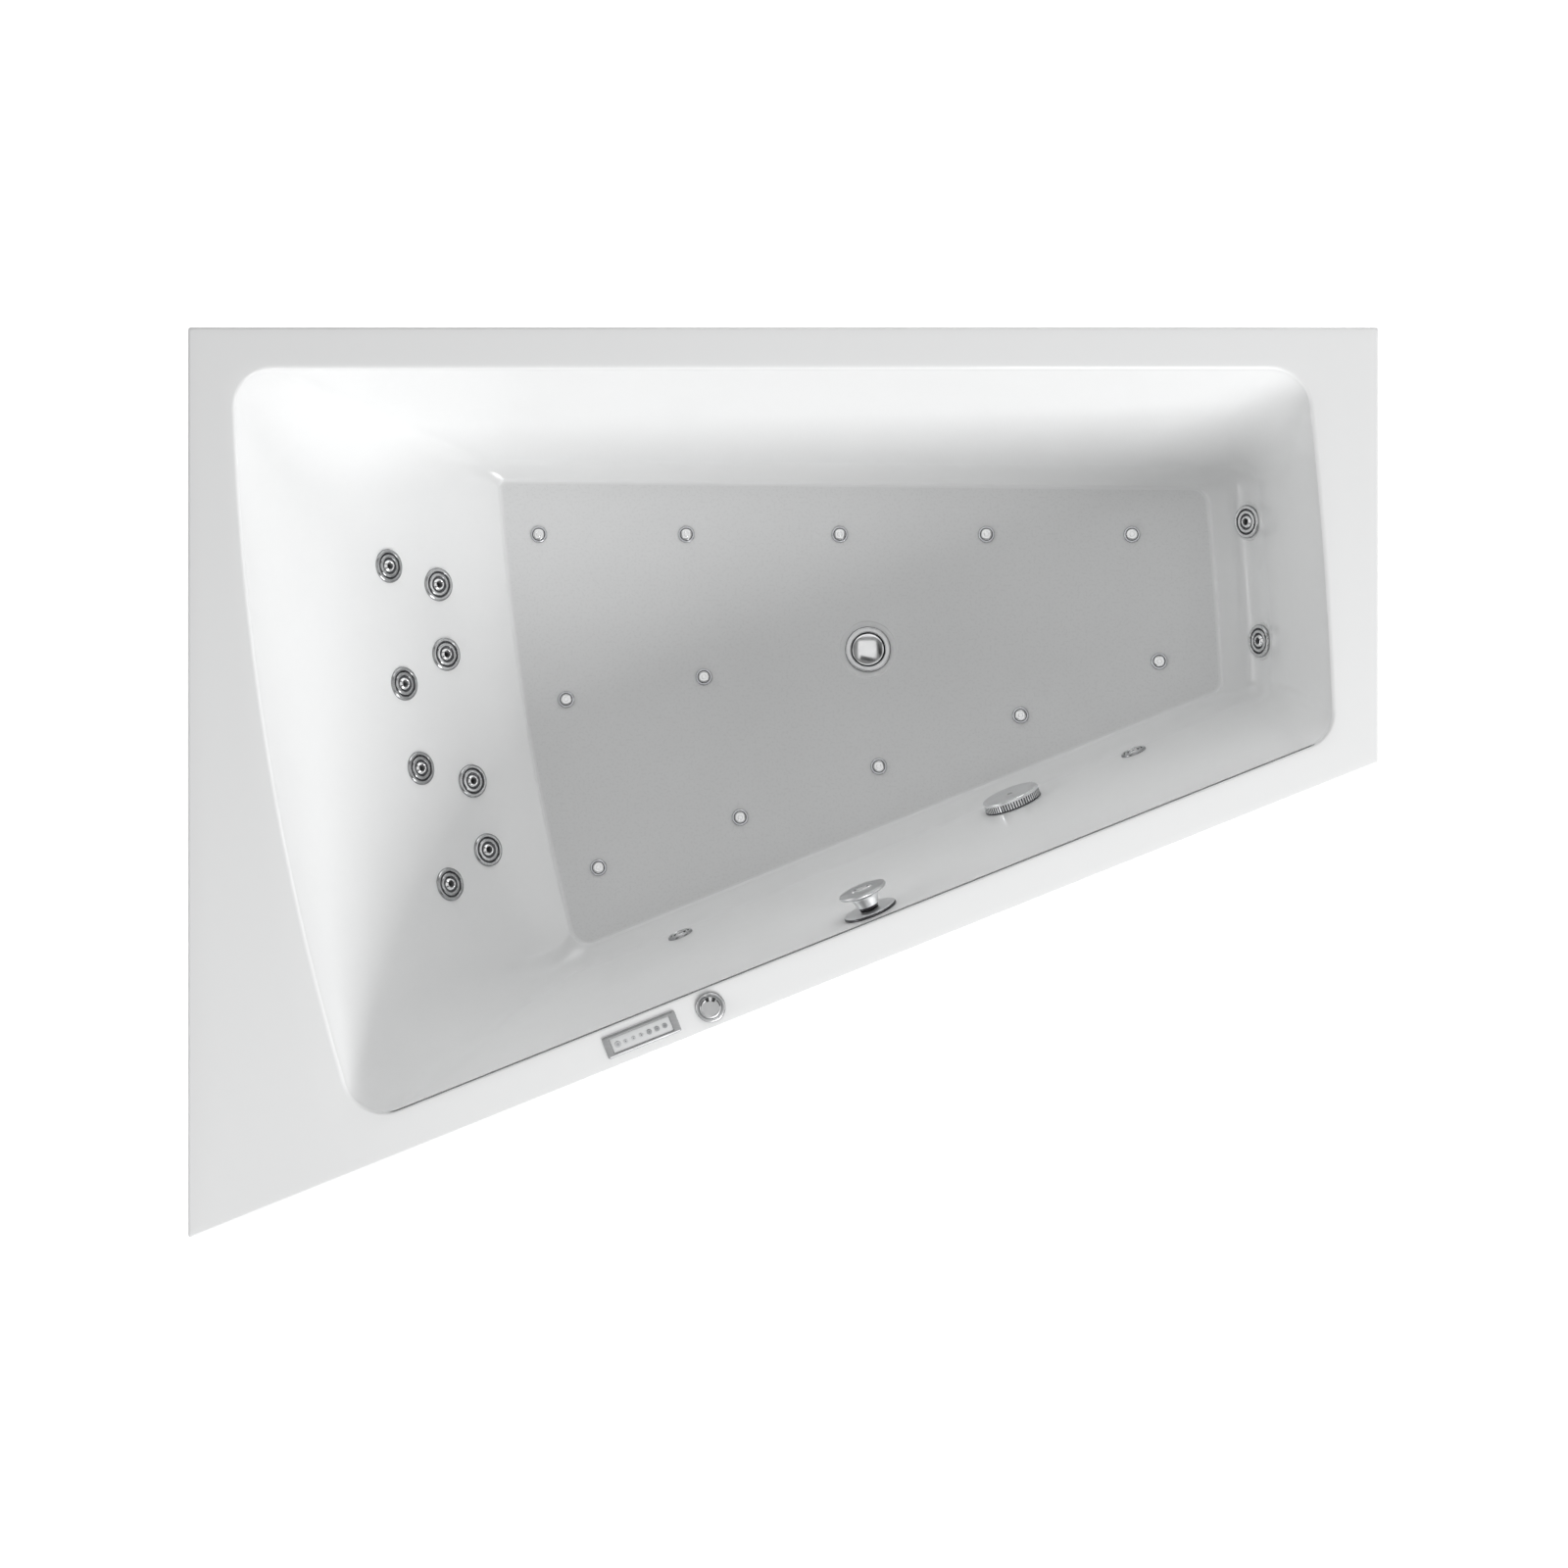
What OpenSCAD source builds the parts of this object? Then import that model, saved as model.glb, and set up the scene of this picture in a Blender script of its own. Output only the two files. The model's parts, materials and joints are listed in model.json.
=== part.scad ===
// Jetted corner bath: acrylic shell, steel frame, water jets, air injectors, pump, blower and waste.

/* [Bath] */

// Overall length, from the head end to the foot end
bath_l = 1700; // [1600:10:1800]
// Overall width at the head end
bath_w = 1300; // [1220:10:1360]
// Width of the short foot end
foot_end_w = 622; // [580:10:680]
// Height of the rim above the ground
bath_h = 600; // [570:5:640]
// Height of the bath floor above the ground
floor_z = 150; // [146:2:170]
// Thickness of the reinforced acrylic shell
shell_t = 8; // [7:0.5:9]
// Height of the turned-down skirt
skirt_h = 40; // [30:1:60]

/* [Basin] */

// Rim width along the back and the front
rim_w = 60; // [56:1:66]
// Rim width at the head, at the back corner
head_rim_back = 66; // [60:1:80]
// Rim width at the head, at the front corner
head_rim_front = 243; // [225:1:260]
// Rim width at the foot, at the back corner
foot_rim_back = 104; // [95:1:112]
// Rim width at the foot, at the front corner
foot_rim_front = 65; // [62:1:75]
// How far the backrest runs in from rim to floor
head_run = 312; // [290:2:330]
// How far the foot wall runs in
foot_run = 88; // [82:1:96]
// How far the back wall runs in, at the head
back_run_head = 110; // [100:1:120]
// How far the back wall runs in, at the foot
back_run_foot = 125; // [115:1:130]
// How far the front wall runs in, at the foot
front_run_foot = 107; // [100:1:115]
// How far the front wall runs in, at the head
front_run_head = 101; // [95:1:110]
// Radius of the rounded inner lip of the rim
lip_r = 6; // [4:0.5:7]
// Depth of the crisp step round the floor panel
floor_step = 5; // [3:0.5:8]
// Bow radius of the head wall, seen from above
head_bow_r = 3800; // [3000:100:6000]
// Bow radius of the foot wall, seen from above
foot_bow_r = 6000; // [4000:100:9000]

/* [Water jets] */

// Flange diameter of a large jet
jet_d = 52; // [48:1:56]
// Flange diameter of a small side jet
side_jet_d = 40; // [38:1:44]
// Nozzle ball diameter of a large jet
ball_d = 24; // [22:0.5:26]
// Bore through a large nozzle
nozzle_bore_d = 9; // [6:0.5:11]
// Height of a jet flange above its seat
jet_flange_h = 4.5; // [4:0.25:6]

/* [Air injectors] */

// Flange diameter of an air injector
injector_d = 26; // [24:1:30]
// Cap diameter of an air injector
injector_cap_d = 18; // [14:1:20]

/* [Waste and overflow] */

// Flange diameter of the floor waste
waste_d = 71.5; // [68:0.5:80]
// Diameter of the pop-up plug
plug_d = 50; // [44:1:54]
// Lift of the plug when the control is turned
plug_lift = 10; // [6:1:12]
// Diameter of the turning overflow control
control_d = 71; // [64:1:74]
// Diameter of the waste outlet pipe
outlet_d = 40; // [32:1:44]

/* [Suction] */

// Diameter of the suction cover
suction_d = 90; // [80:1:100]
// Thickness of the suction cover
suction_h = 15; // [12:1:18]

/* [Rim controls] */

// Length of the keypad frame
keypad_l = 112; // [108:1:124]
// Width of the keypad frame
keypad_w = 32; // [29:1:36]
// Spacing of the keypad buttons
key_pitch = 12; // [11:0.5:13]
// Travel of a keypad button
key_travel = 0.5; // [0.3:0.1:0.6]
// Diameter of the air control's outer ring
air_ring_d = 43; // [38:1:46]
// Diameter of the air control's knob
air_knob_d = 30; // [26:1:33]

/* [Frame] */

// Width of the square steel tube
tube_w = 25; // [20:1:30]
// Wall thickness of the square steel tube
tube_t = 2; // [1.5:0.5:3]
// Gap between the outline of the bath and the frame
frame_gap = 20; // [14:1:24]
// Thickness of the board under the floor
board_t = 18; // [12:1:20]
// Diameter of a foot pad
pad_d = 50; // [40:1:60]
// Diameter of a threaded foot rod
rod_d = 12; // [10:1:14]

/* [Hidden] */

$fn = 48;
straight = 0;
overrun = 20;
hair = 0.1;

// Small helpers for vectors
function unit(v) = v / norm(v);
function mix(a, b, s) = a + (b - a) * s;
function up3(p, z) = [p[0], p[1], z];
function flat(p) = [p[0], p[1]];
function cross2(a, b) = a[0] * b[1] - a[1] * b[0];
function meet(p, d, q, e) = p + d * cross2(q - p, e) / cross2(d, e);

// Outline of the bath from above: back left, back right, front right, front left
outline = [
  [-bath_l / 2, bath_w / 2],
  [bath_l / 2, bath_w / 2],
  [bath_l / 2, bath_w / 2 - foot_end_w],
  [-bath_l / 2, -bath_w / 2]
];
front_dir = unit(outline[2] - outline[3]);
front_in = [-front_dir[1], front_dir[0]];
function on_front(x, inset) =
  let (p = outline[3] + front_in * inset) p + front_dir * ((x - p[0]) / front_dir[0]);

// The sharp front corner reaches past its line by what its rounding takes off
edge_r = 4;
corner_drop = edge_r * ((1 + front_dir[1]) / front_dir[0] - 1);
edge_line = [outline[0], outline[1], outline[2], outline[3] - [0, corner_drop]];

// Corners of the opening, on the line where the walls start below the rounded lip
opening = [
  [-bath_l / 2 + head_rim_back, bath_w / 2 - rim_w],
  [bath_l / 2 - foot_rim_back, bath_w / 2 - rim_w],
  on_front(bath_l / 2 - foot_rim_front, rim_w),
  on_front(-bath_l / 2 + head_rim_front, rim_w)
];
middle = (opening[0] + opening[1] + opening[2] + opening[3]) / 4;
wall_depth = bath_h - lip_r - floor_z - floor_step;

// Wall sections: how far a wall's foot reaches out and the slope that it ends with
back_cove = 22;
front_cove = 24;
foot_cove = 65;
head_cove = 250;
cove_angle = 60;
foot_cove_angle = 85;
head_cove_angle = 55;
runs = [
  [back_run_head, back_run_foot],
  [foot_run, foot_run],
  [front_run_foot, front_run_head],
  [head_run, head_run]
];
coves = [back_cove, foot_cove, front_cove, head_cove];
cove_angles = [cove_angle, foot_cove_angle, cove_angle, head_cove_angle];
bows = [straight, foot_bow_r, straight, head_bow_r];

// Corner radii at the rim, half way down and at the floor
rim_corners = [48, 55, 48, 50];
mid_corners = [150, 120, 70, 110];
floor_corners = [12, 28, 22, 28];
corner_rs = function (h)
  let (s = h / wall_depth)
  rim_corners * pow(1 - s, 2) + mid_corners * 2 * s * (1 - s) + floor_corners * s * s;

// A wall falls at a steady draft and then sweeps into its cove along a quadratic curve
function mean_run(i) = (runs[i][0] + runs[i][1]) / 2;
function bend(i) = [mean_run(i) - coves[i], wall_depth - coves[i] / tan(cove_angles[i])];
function cove_start(i) =
  let (c = bend(i), l = norm(c), k = min(coves[i] / sin(cove_angles[i]), l)) c * (1 - k / l);
function run_share(i, h) =
  let (c = bend(i), p = cove_start(i), e = [mean_run(i), wall_depth])
  h <= p[1]
    ? h * c[0] / c[1] / e[0]
    : let (
        a = p[1] - 2 * c[1] + e[1],
        b = 2 * (c[1] - p[1]),
        t = (-b + sqrt(max(b * b - 4 * a * (p[1] - h), 0))) / (2 * a)
      )
      (pow(1 - t, 2) * p[0] + 2 * t * (1 - t) * c[0] + t * t * e[0]) / e[0];

// The four side lines at a depth, and where they cross
function side_in(i) =
  let (d = unit(opening[(i + 1) % 4] - opening[i]), n = [d[1], -d[0]])
  n * (middle - opening[i]) > 0 ? n : -n;
function side_start(i, h) = opening[i] + side_in(i) * runs[i][0] * run_share(i, h);
function side_end(i, h) = opening[(i + 1) % 4] + side_in(i) * runs[i][1] * run_share(i, h);
function corners_at(h) = [
  for (i = [0:3])
    let (k = (i + 3) % 4)
    meet(side_start(k, h), side_end(k, h) - side_start(k, h), side_start(i, h),
        side_end(i, h) - side_start(i, h))
];

// A point on a bowed side between two corners, and the direction of the side there
function bow_point(a, b, r, s) =
  let (c = norm(b - a), d = (b - a) / c, n = [-d[1], d[0]], x = (s - 1 / 2) * c)
  a + (b - a) * s + n * (r == straight ? 0 : sqrt(r * r - x * x) - sqrt(r * r - c * c / 4));
function bow_dir(a, b, r, s) =
  let (c = norm(b - a), d = (b - a) / c, n = [-d[1], d[0]], x = (s - 1 / 2) * c)
  r == straight ? d : unit(d * sqrt(r * r - x * x) - n * x);

// A closed ring of points with bowed sides and rounded corners
side_steps = [12, 6, 12, 12];
corner_steps = 6;
function setback(v, rs, i) =
  let (a = unit(v[i] - v[(i + 3) % 4]), b = unit(v[(i + 1) % 4] - v[i])) rs[i] * tan(acos(a * b) / 2);
function ring_side(v, bow, rs, i) =
  let (
    k = (i + 1) % 4,
    l = norm(v[k] - v[i]),
    s0 = setback(v, rs, i) / l,
    s1 = 1 - setback(v, rs, k) / l
  )
  [for (j = [0:side_steps[i]]) bow_point(v[i], v[k], bow[i], mix(s0, s1, j / side_steps[i]))];
function ring_corner(v, bow, rs, i) =
  let (
    k = (i + 1) % 4,
    m = (i + 2) % 4,
    s0 = 1 - setback(v, rs, k) / norm(v[k] - v[i]),
    s1 = setback(v, rs, k) / norm(v[m] - v[k]),
    a = bow_point(v[i], v[k], bow[i], s0),
    b = bow_point(v[k], v[m], bow[k], s1),
    da = bow_dir(v[i], v[k], bow[i], s0),
    db = bow_dir(v[k], v[m], bow[k], s1),
    c = meet(a, da, b, db),
    w = cos(acos(da * db) / 2)
  )
  [
    for (j = [1:corner_steps - 1])
      let (t = j / corner_steps, q = [pow(1 - t, 2), 2 * t * (1 - t) * w, t * t])
      (a * q[0] + c * q[1] + b * q[2]) / (q[0] + q[1] + q[2])
  ];
function ring_of(v, bow, rs) = [for (i = [0:3]) each concat(ring_side(v, bow, rs, i),
    ring_corner(v, bow, rs, i))];
function wall_ring(h) = ring_of(corners_at(h), bows, corner_rs(h));
function grown(ring, d) =
  let (n = len(ring))
  [for (j = [0:n - 1]) let (t = unit(ring[(j + 1) % n] - ring[(j + n - 1) % n]))
      ring[j] + [-t[1], t[0]] * d];
function shrunk(v, d) = [
  for (i = [0:3])
    let (
      a = unit(v[i] - v[(i + 3) % 4]),
      b = unit(v[(i + 1) % 4] - v[i])
    )
    meet(v[i] + [a[1], -a[0]] * d, a, v[i] + [b[1], -b[0]] * d, b)
];
function at_z(ring, z) = [for (p = ring) up3(p, z)];

// Rings of the shell, from the middle of the floor out over the rim and back underneath
wall_steps = 14;
step_run = 3;
straight_sides = [straight, straight, straight, straight];
edge_corners = [edge_r, edge_r, edge_r, edge_r];
function level(k) = wall_depth * (1 - pow(1 - k / wall_steps, 2));
wall_rings = [for (k = [0:wall_steps]) at_z(wall_ring(level(k)), bath_h - lip_r - level(k))];
function edge_ring(d, z) = at_z(ring_of(shrunk(edge_line, d), straight_sides, edge_corners), z);
function lip_ring(a) = at_z(grown(wall_ring(0), lip_r * (1 - cos(a))), bath_h - lip_r + lip_r * sin(a));
function outer_ring(k) =
  let (r = wall_rings[k], a = wall_rings[k - 1], b = wall_rings[min(k + 1, wall_steps)], n = len(r))
  [
    for (j = [0:n - 1])
      r[j] - unit(cross(b[j] - a[j], r[(j + 1) % n] - r[(j + n - 1) % n])) * shell_t
  ];
floor_ring = grown(wall_ring(wall_depth), -step_run);
shell_rings = concat(
  [at_z(floor_ring, floor_z)],
  [for (k = [wall_steps:-1:0]) wall_rings[k]],
  [lip_ring(45), lip_ring(90)],
  [edge_ring(edge_r, bath_h), edge_ring(edge_r * (1 - cos(45)), bath_h - edge_r * (1 - sin(45)))],
  [edge_ring(0, bath_h - edge_r), edge_ring(0, bath_h - skirt_h)],
  [edge_ring(shell_t, bath_h - skirt_h), edge_ring(shell_t, bath_h - shell_t)],
  [at_z(grown(wall_ring(0), shell_t), bath_h - shell_t)],
  [for (k = [1:wall_steps]) outer_ring(k)],
  [at_z(grown(floor_ring, step_run / 2), floor_z - shell_t)]
);
module ring_body(rings) {
  n = len(rings[0]);
  m = len(rings);
  floor_mid = [for (k = [0, m - 1]) (rings[k][0] + rings[k][floor(n / 3)]
      + rings[k][floor(2 * n / 3)]) / 3];
  points = concat([for (r = rings) each r], floor_mid);
  faces = concat(
    [
      for (k = [0:m - 2], j = [0:n - 1])
        let (i = (j + 1) % n)
        each [[k * n + j, (k + 1) * n + j, (k + 1) * n + i], [k * n + j, (k + 1) * n + i, k * n + i]]
    ],
    [for (j = [0:n - 1]) [m * n, j, (j + 1) % n]],
    [for (j = [0:n - 1]) [m * n + 1, (m - 1) * n + (j + 1) % n, (m - 1) * n + j]]
  );
  polyhedron(points, faces);
}

// A place on a wall from above, as shares of length and width, found on the wall's surface
function wall_gap(i, p, h) =
  let (
    v = corners_at(h),
    a = v[i],
    b = v[(i + 1) % 4],
    l = norm(b - a),
    s = (p - a) * (b - a) / l / l,
    d = (b - a) / l
  )
  (p - bow_point(a, b, bows[i], s)) * [d[1], -d[0]];
function wall_find(i, p, lo, hi, n) =
  n == 0 ? lo : let (m = (lo + hi) / 2) wall_gap(i, p, m) > 0 ? wall_find(i, p, m, hi, n - 1)
      : wall_find(i, p, lo, m, n - 1);
function wall_point(i, s, h) =
  let (v = corners_at(h)) up3(bow_point(v[i], v[(i + 1) % 4], bows[i], s), bath_h - lip_r - h);
find_steps = 24;
probe = 0.5;
function wall_seat_at(i, s, h) =
  let (
    p = wall_point(i, s, h),
    along = wall_point(i, s + probe / bath_l, h) - wall_point(i, s - probe / bath_l, h),
    down = wall_point(i, s, h + probe) - wall_point(i, s, h - probe),
    m = unit(cross(down, along)),
    n = m[2] > 0 ? m : -m
  )
  [p, n, unit([0, 0, 1] - n * n[2])];
function wall_seat(i, place) =
  let (
    p = [place[0] * bath_l, place[1] * bath_w],
    h = wall_find(i, p, 0, wall_depth, find_steps),
    v = corners_at(h),
    d = v[(i + 1) % 4] - v[i]
  )
  wall_seat_at(i, (p - v[i]) * d / (d * d), h);
module on_seat(seat) {
  n = seat[1];
  u = seat[2];
  a = cross(u, n);
  p = seat[0];
  multmatrix([[a[0], u[0], n[0], p[0]], [a[1], u[1], n[1], p[1]], [a[2], u[2], n[2], p[2]], [0, 0, 0, 1]])
      children();
}

// Where the fittings are, from above, as shares of length and width
back_jet_place_shares = [
  [-0.354, 0.254], [-0.3136, 0.2354], [-0.3065, 0.1525], [-0.3403, 0.116],
  [-0.3257, 0.017], [-0.283, 0.002], [-0.269, -0.08], [-0.3, -0.1195]
];
foot_jet_place_shares = [[0.4274, 0.3133], [0.4385, 0.17]];
side_jet_place_shares = [[-0.0935, -0.1814], [0.3188, 0.0359]];
injector_place_shares = [
  [-0.2258, 0.2998], [-0.0896, 0.2998], [0.0521, 0.2998], [0.1874, 0.2998], [0.3218, 0.2998],
  [0.347, 0.1467], [0.2189, 0.0815], [0.0881, 0.0198], [-0.0399, -0.0418], [-0.1708, -0.1024],
  [-0.2005, 0.1005], [-0.0734, 0.1278]
];
waste_place_share = [0.0782, 0.1609];
suction_place_share = [0.2087, -0.0248];
overflow_place_share = 0.476;
overflow_drop = 50;
function placed(s) = [s[0] * bath_l, s[1] * bath_w];
back_seats = [for (s = back_jet_place_shares) wall_seat(3, s)];
foot_seats = [for (s = foot_jet_place_shares) wall_seat(1, s)];
side_seats = [for (s = side_jet_place_shares) wall_seat(2, s)];
injectors = [for (s = injector_place_shares) placed(s)];
waste = placed(waste_place_share);
suction_seat = wall_seat(2, suction_place_share);
overflow_seat = wall_seat_at(2, overflow_place_share, overflow_drop);
under_z = floor_z - shell_t;

// Jets: flange, barrel through the wall, gasket and housing behind it
jet_r = jet_d / 2;
side_jet_r = side_jet_d / 2;
barrel_r = 19;
side_barrel_r = 15.5;
ball_r = ball_d / 2;
side_ball_r = 9.5;
seat_gap = 0.5;
fit_gap = 0.15;
thread_gap = 0.1;
spot_cut = 1;
flat_cut = 0.5;
boss_rim = 3;
boss_h = 3.5;
boss_r = jet_r + boss_rim;
barrel_out = 16;
gasket_t = 2;
clamp_t = 4;
cup_wall = 5;
cup_depth = 34;
cup_floor = 4;
stub_l = 22;
stub_reach = 45;
stub_depth = 24;
hose_r = 9;
hose_bore_r = 5.5;
// Seat, inner face, outer face, flange radius, barrel radius, ball radius, and 1 for a side stub
jets = concat(
  [for (s = back_seats) [s, -spot_cut, spot_cut - shell_t, jet_r, barrel_r, ball_r, 0]],
  [for (s = foot_seats) [s, boss_h, -shell_t - boss_h, jet_r, barrel_r, ball_r, 1]],
  [for (s = side_seats) [s, -flat_cut, flat_cut - shell_t, side_jet_r, side_barrel_r, side_ball_r, 1]]
);
ball_sink_share = 1 / 3;
ball_face_share = 0.83;
function ball_z(j) = j[1] - j[5] * ball_sink_share;
function jet_at(j, z) = j[0][0] + j[0][1] * z;
function stub_end(j) =
  j[6] == 0 ? jet_at(j, j[2] - cup_depth - stub_l) : jet_at(j, j[2] - stub_depth) + j[0][2] * stub_reach;

// Suction and overflow levels
suction_hole_r = 30;
suction_flange_r = 40;
suction_flange_h = 3;
suction_out = 62;
suction_port_r = 22;
suction_port_l = 33;
pipe_wall = 3;
overflow_ring_d = 79;
overflow_ring_h = 4.5;
overflow_hole_r = 25;
overflow_cup_r = 31;
overflow_cup_l = 38;
overflow_port_r = 12.5;
overflow_port_l = 50;
flat_in = -flat_cut;
flat_out = flat_cut - shell_t;

// Waste
waste_hole_r = 30;
waste_recess_r = 44.5;
waste_recess = 1.5;

// Air injector
stem_r = 5.8;

// Rim controls
rim_line = 29.5;
air_place = 815;
keypad_place = 709;
air_tube_r = 13;
key_box_l = 100;
key_box_w = 24;
function along_front(d, inset, z) = up3(outline[3] + front_dir * d + front_in * inset, z);
front_angle = atan2(front_dir[1], front_dir[0]);
module on_rim(d) {
  translate(along_front(d, rim_line, bath_h)) rotate([0, 0, front_angle]) children();
}

module tub_shell() {
  color("white") difference() {
    union() {
      ring_body(shell_rings);
      for (s = foot_seats) on_seat(s)
        translate([0, 0, -shell_t - boss_h]) cylinder(r = boss_r, h = shell_t + 2 * boss_h);
    }
    for (j = jets) on_seat(j[0]) {
      translate([0, 0, -shell_t - overrun]) cylinder(r = j[4] + seat_gap, h = shell_t + 2 * overrun);
      translate([0, 0, j[1]]) cylinder(r = j[3] + boss_rim + seat_gap, h = overrun);
      translate([0, 0, j[2] - overrun]) cylinder(r = j[3] + boss_rim + seat_gap, h = overrun);
    }
    on_seat(suction_seat) {
      translate([0, 0, -shell_t - overrun]) cylinder(r = suction_hole_r + seat_gap,
          h = shell_t + 2 * overrun);
      translate([0, 0, flat_in]) cylinder(r = suction_d / 2 + seat_gap, h = overrun);
      translate([0, 0, flat_out - overrun]) cylinder(r = suction_d / 2, h = overrun);
    }
    on_seat(overflow_seat) {
      translate([0, 0, -shell_t - overrun]) cylinder(r = overflow_hole_r + seat_gap,
          h = shell_t + 2 * overrun);
      translate([0, 0, flat_in]) cylinder(r = overflow_ring_d / 2 + seat_gap, h = overrun);
      translate([0, 0, flat_out - overrun]) cylinder(r = overflow_cup_r + seat_gap, h = overrun);
    }
    for (p = injectors) translate(up3(p, under_z - overrun))
        cylinder(r = stem_r + seat_gap, h = 3 * overrun);
    translate(up3(waste, under_z - overrun)) cylinder(r = waste_hole_r + seat_gap, h = 3 * overrun);
    translate(up3(waste, floor_z - waste_recess)) cylinder(r = waste_recess_r, h = overrun);
    on_rim(air_place) translate([0, 0, -shell_t - overrun])
        cylinder(r = air_tube_r + seat_gap, h = 2 * overrun + shell_t);
    on_rim(keypad_place) translate([-key_box_l / 2 - seat_gap, -key_box_w / 2 - seat_gap,
        -shell_t - overrun])
      cube([key_box_l + 2 * seat_gap, key_box_w + 2 * seat_gap, shell_t + 2 * overrun]);
  }
}

// Board under the floor, and the welded steel frame that carries it
board_margin = 15;
board_hole_r = 14;
board_waste_r = 46;
rail_top = under_z - board_t;
rail_z = rail_top - tube_w;
board_pts = shrunk(corners_at(wall_depth), board_margin);
module base_board() {
  color("burlywood") difference() {
    translate([0, 0, rail_top]) linear_extrude(board_t) polygon(board_pts);
    for (p = injectors) translate(up3(p, rail_top - overrun))
        cylinder(r = board_hole_r, h = board_t + 2 * overrun);
    translate(up3(waste, rail_top - overrun)) cylinder(r = board_waste_r, h = board_t + 2 * overrun);
  }
}

// A square tube lying between two lines of the outline, with mitred open ends
foot_hole_r = rod_d / 2 + seat_gap;
mid_span = 0;
foot_places = concat(
  [for (p = shrunk(outline, frame_gap + tube_w / 2)) p],
  [[mid_span, bath_w / 2 - frame_gap - tube_w / 2], on_front(mid_span, frame_gap + tube_w / 2)]
);
module rail(i) {
  k = (i + 1) % 4;
  o = shrunk(outline, frame_gap);
  n = shrunk(outline, frame_gap + tube_w);
  bo = shrunk(outline, frame_gap + tube_t);
  bn = shrunk(outline, frame_gap + tube_w - tube_t);
  d = unit(o[k] - o[i]) * overrun;
  difference() {
    translate([0, 0, rail_z]) linear_extrude(tube_w) polygon([o[i], o[k], n[k], n[i]]);
    translate([0, 0, rail_z + tube_t]) linear_extrude(tube_w - 2 * tube_t)
      polygon([bo[i] - d, bo[k] + d, bn[k] + d, bn[i] - d]);
    for (p = foot_places) translate(up3(p, rail_z - overrun))
        cylinder(r = foot_hole_r, h = tube_w + 2 * overrun);
  }
}
module frame_back_rail() { color("dimgray") rail(0); }
module frame_foot_rail() { color("dimgray") rail(1); }
module frame_front_rail() { color("dimgray") rail(2); }
module frame_head_rail() { color("dimgray") rail(3); }

// Cross rails between the back rail and the slanted front rail
cross_place_shares = [-0.353, -0.141, 0.135, 0.282];
cross_places = cross_place_shares * bath_l;
module cross_rails() {
  top = bath_w / 2 - frame_gap - tube_w;
  inset = frame_gap + tube_w;
  color("dimgray") for (x = cross_places) {
    a = x - tube_w / 2;
    b = x + tube_w / 2;
    difference() {
      translate([0, 0, rail_z]) linear_extrude(tube_w)
        polygon([[a, on_front(a, inset)[1]], [b, on_front(b, inset)[1]], [b, top], [a, top]]);
      translate([a + tube_t, on_front(a, inset)[1] - overrun, rail_z + tube_t])
        cube([tube_w - 2 * tube_t, top - on_front(a, inset)[1] + 2 * overrun, tube_w - 2 * tube_t]);
    }
  }
}

// Uprights from the rails to the underside of the rim
front_post_share = 0.376;
front_post_place = front_post_share * bath_l;
post_places = [
  up3(foot_places[0], 0), up3(foot_places[1], 0),
      up3(on_front(front_post_place, frame_gap + tube_w / 2), front_angle),
  up3([foot_places[3][0], foot_places[3][1] + tube_w / 8], 0)
];
module uprights() {
  color("dimgray") for (p = post_places)
    translate(up3(p, rail_top)) rotate([0, 0, p[2]]) difference() {
      translate([-tube_w / 2, -tube_w / 2, 0]) cube([tube_w, tube_w, bath_h - shell_t - rail_top]);
      translate([-tube_w / 2 + tube_t, -tube_w / 2 + tube_t, -overrun])
        cube([tube_w - 2 * tube_t, tube_w - 2 * tube_t,
            bath_h - shell_t - rail_top - 2 * tube_t + overrun]);
    }
}

// Adjustable feet
pad_h = 14;
pad_socket = 8;
nut_h = 10;
nut_r = 11;
rod_top = rail_top + 6;
module foot_pads() {
  color("black") for (p = foot_places) translate(up3(p, 0)) difference() {
    rotate_extrude() polygon([
      [0, 0], [pad_d / 2, 0], [pad_d / 2, pad_h / 3], [pad_d / 3, pad_h / 2], [rod_d, pad_h], [0, pad_h]
    ]);
    translate([0, 0, pad_h - pad_socket]) cylinder(r = rod_d / 2 + thread_gap, h = overrun);
  }
}
module foot_rods() {
  color("silver") for (p = foot_places) translate(up3(p, pad_h - pad_socket))
      cylinder(r = rod_d / 2, h = rod_top - pad_h + pad_socket);
}
module foot_nuts() {
  color("silver") for (p = foot_places) translate(up3(p, rail_z - nut_h)) difference() {
    cylinder(r = nut_r, h = nut_h, $fn = 6);
    translate([0, 0, -overrun]) cylinder(r = rod_d / 2 + thread_gap, h = nut_h + 2 * overrun);
  }
}

// Jet trims: a stepped flange, a barrel and the seat of the nozzle ball
lip_share = 0.6;
module jet_trim(j) {
  r = j[3];
  t = j[4];
  b = j[5];
  top = jet_flange_h;
  face = top * lip_share;
  on_seat(j[0]) difference() {
    translate([0, 0, j[1]]) rotate_extrude() polygon([
      [0, 0], [r, 0], [r, top * 0.35], [r * 0.97, top * 0.75], [r * 0.9, top], [r * 0.78, top],
      [r * 0.73, face * 0.7], [r * 0.68, face * 0.7], [r * 0.66, face], [0, face]
    ]);
    barrel_cut(j);
  }
  on_seat(j[0]) difference() {
    translate([0, 0, j[2] - barrel_out]) cylinder(r = t, h = barrel_out - j[2] + j[1]);
    barrel_cut(j);
  }
}
bore_share = 0.8;
module barrel_cut(j) {
  translate([0, 0, ball_z(j)]) sphere(r = j[5] + fit_gap);
  translate([0, 0, j[2] - barrel_out - overrun])
      cylinder(r = j[5] * bore_share, h = ball_z(j) - j[2] + barrel_out + overrun);
}
module jet_trims() {
  color("gray") for (j = jets) union() jet_trim(j);
}
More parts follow.
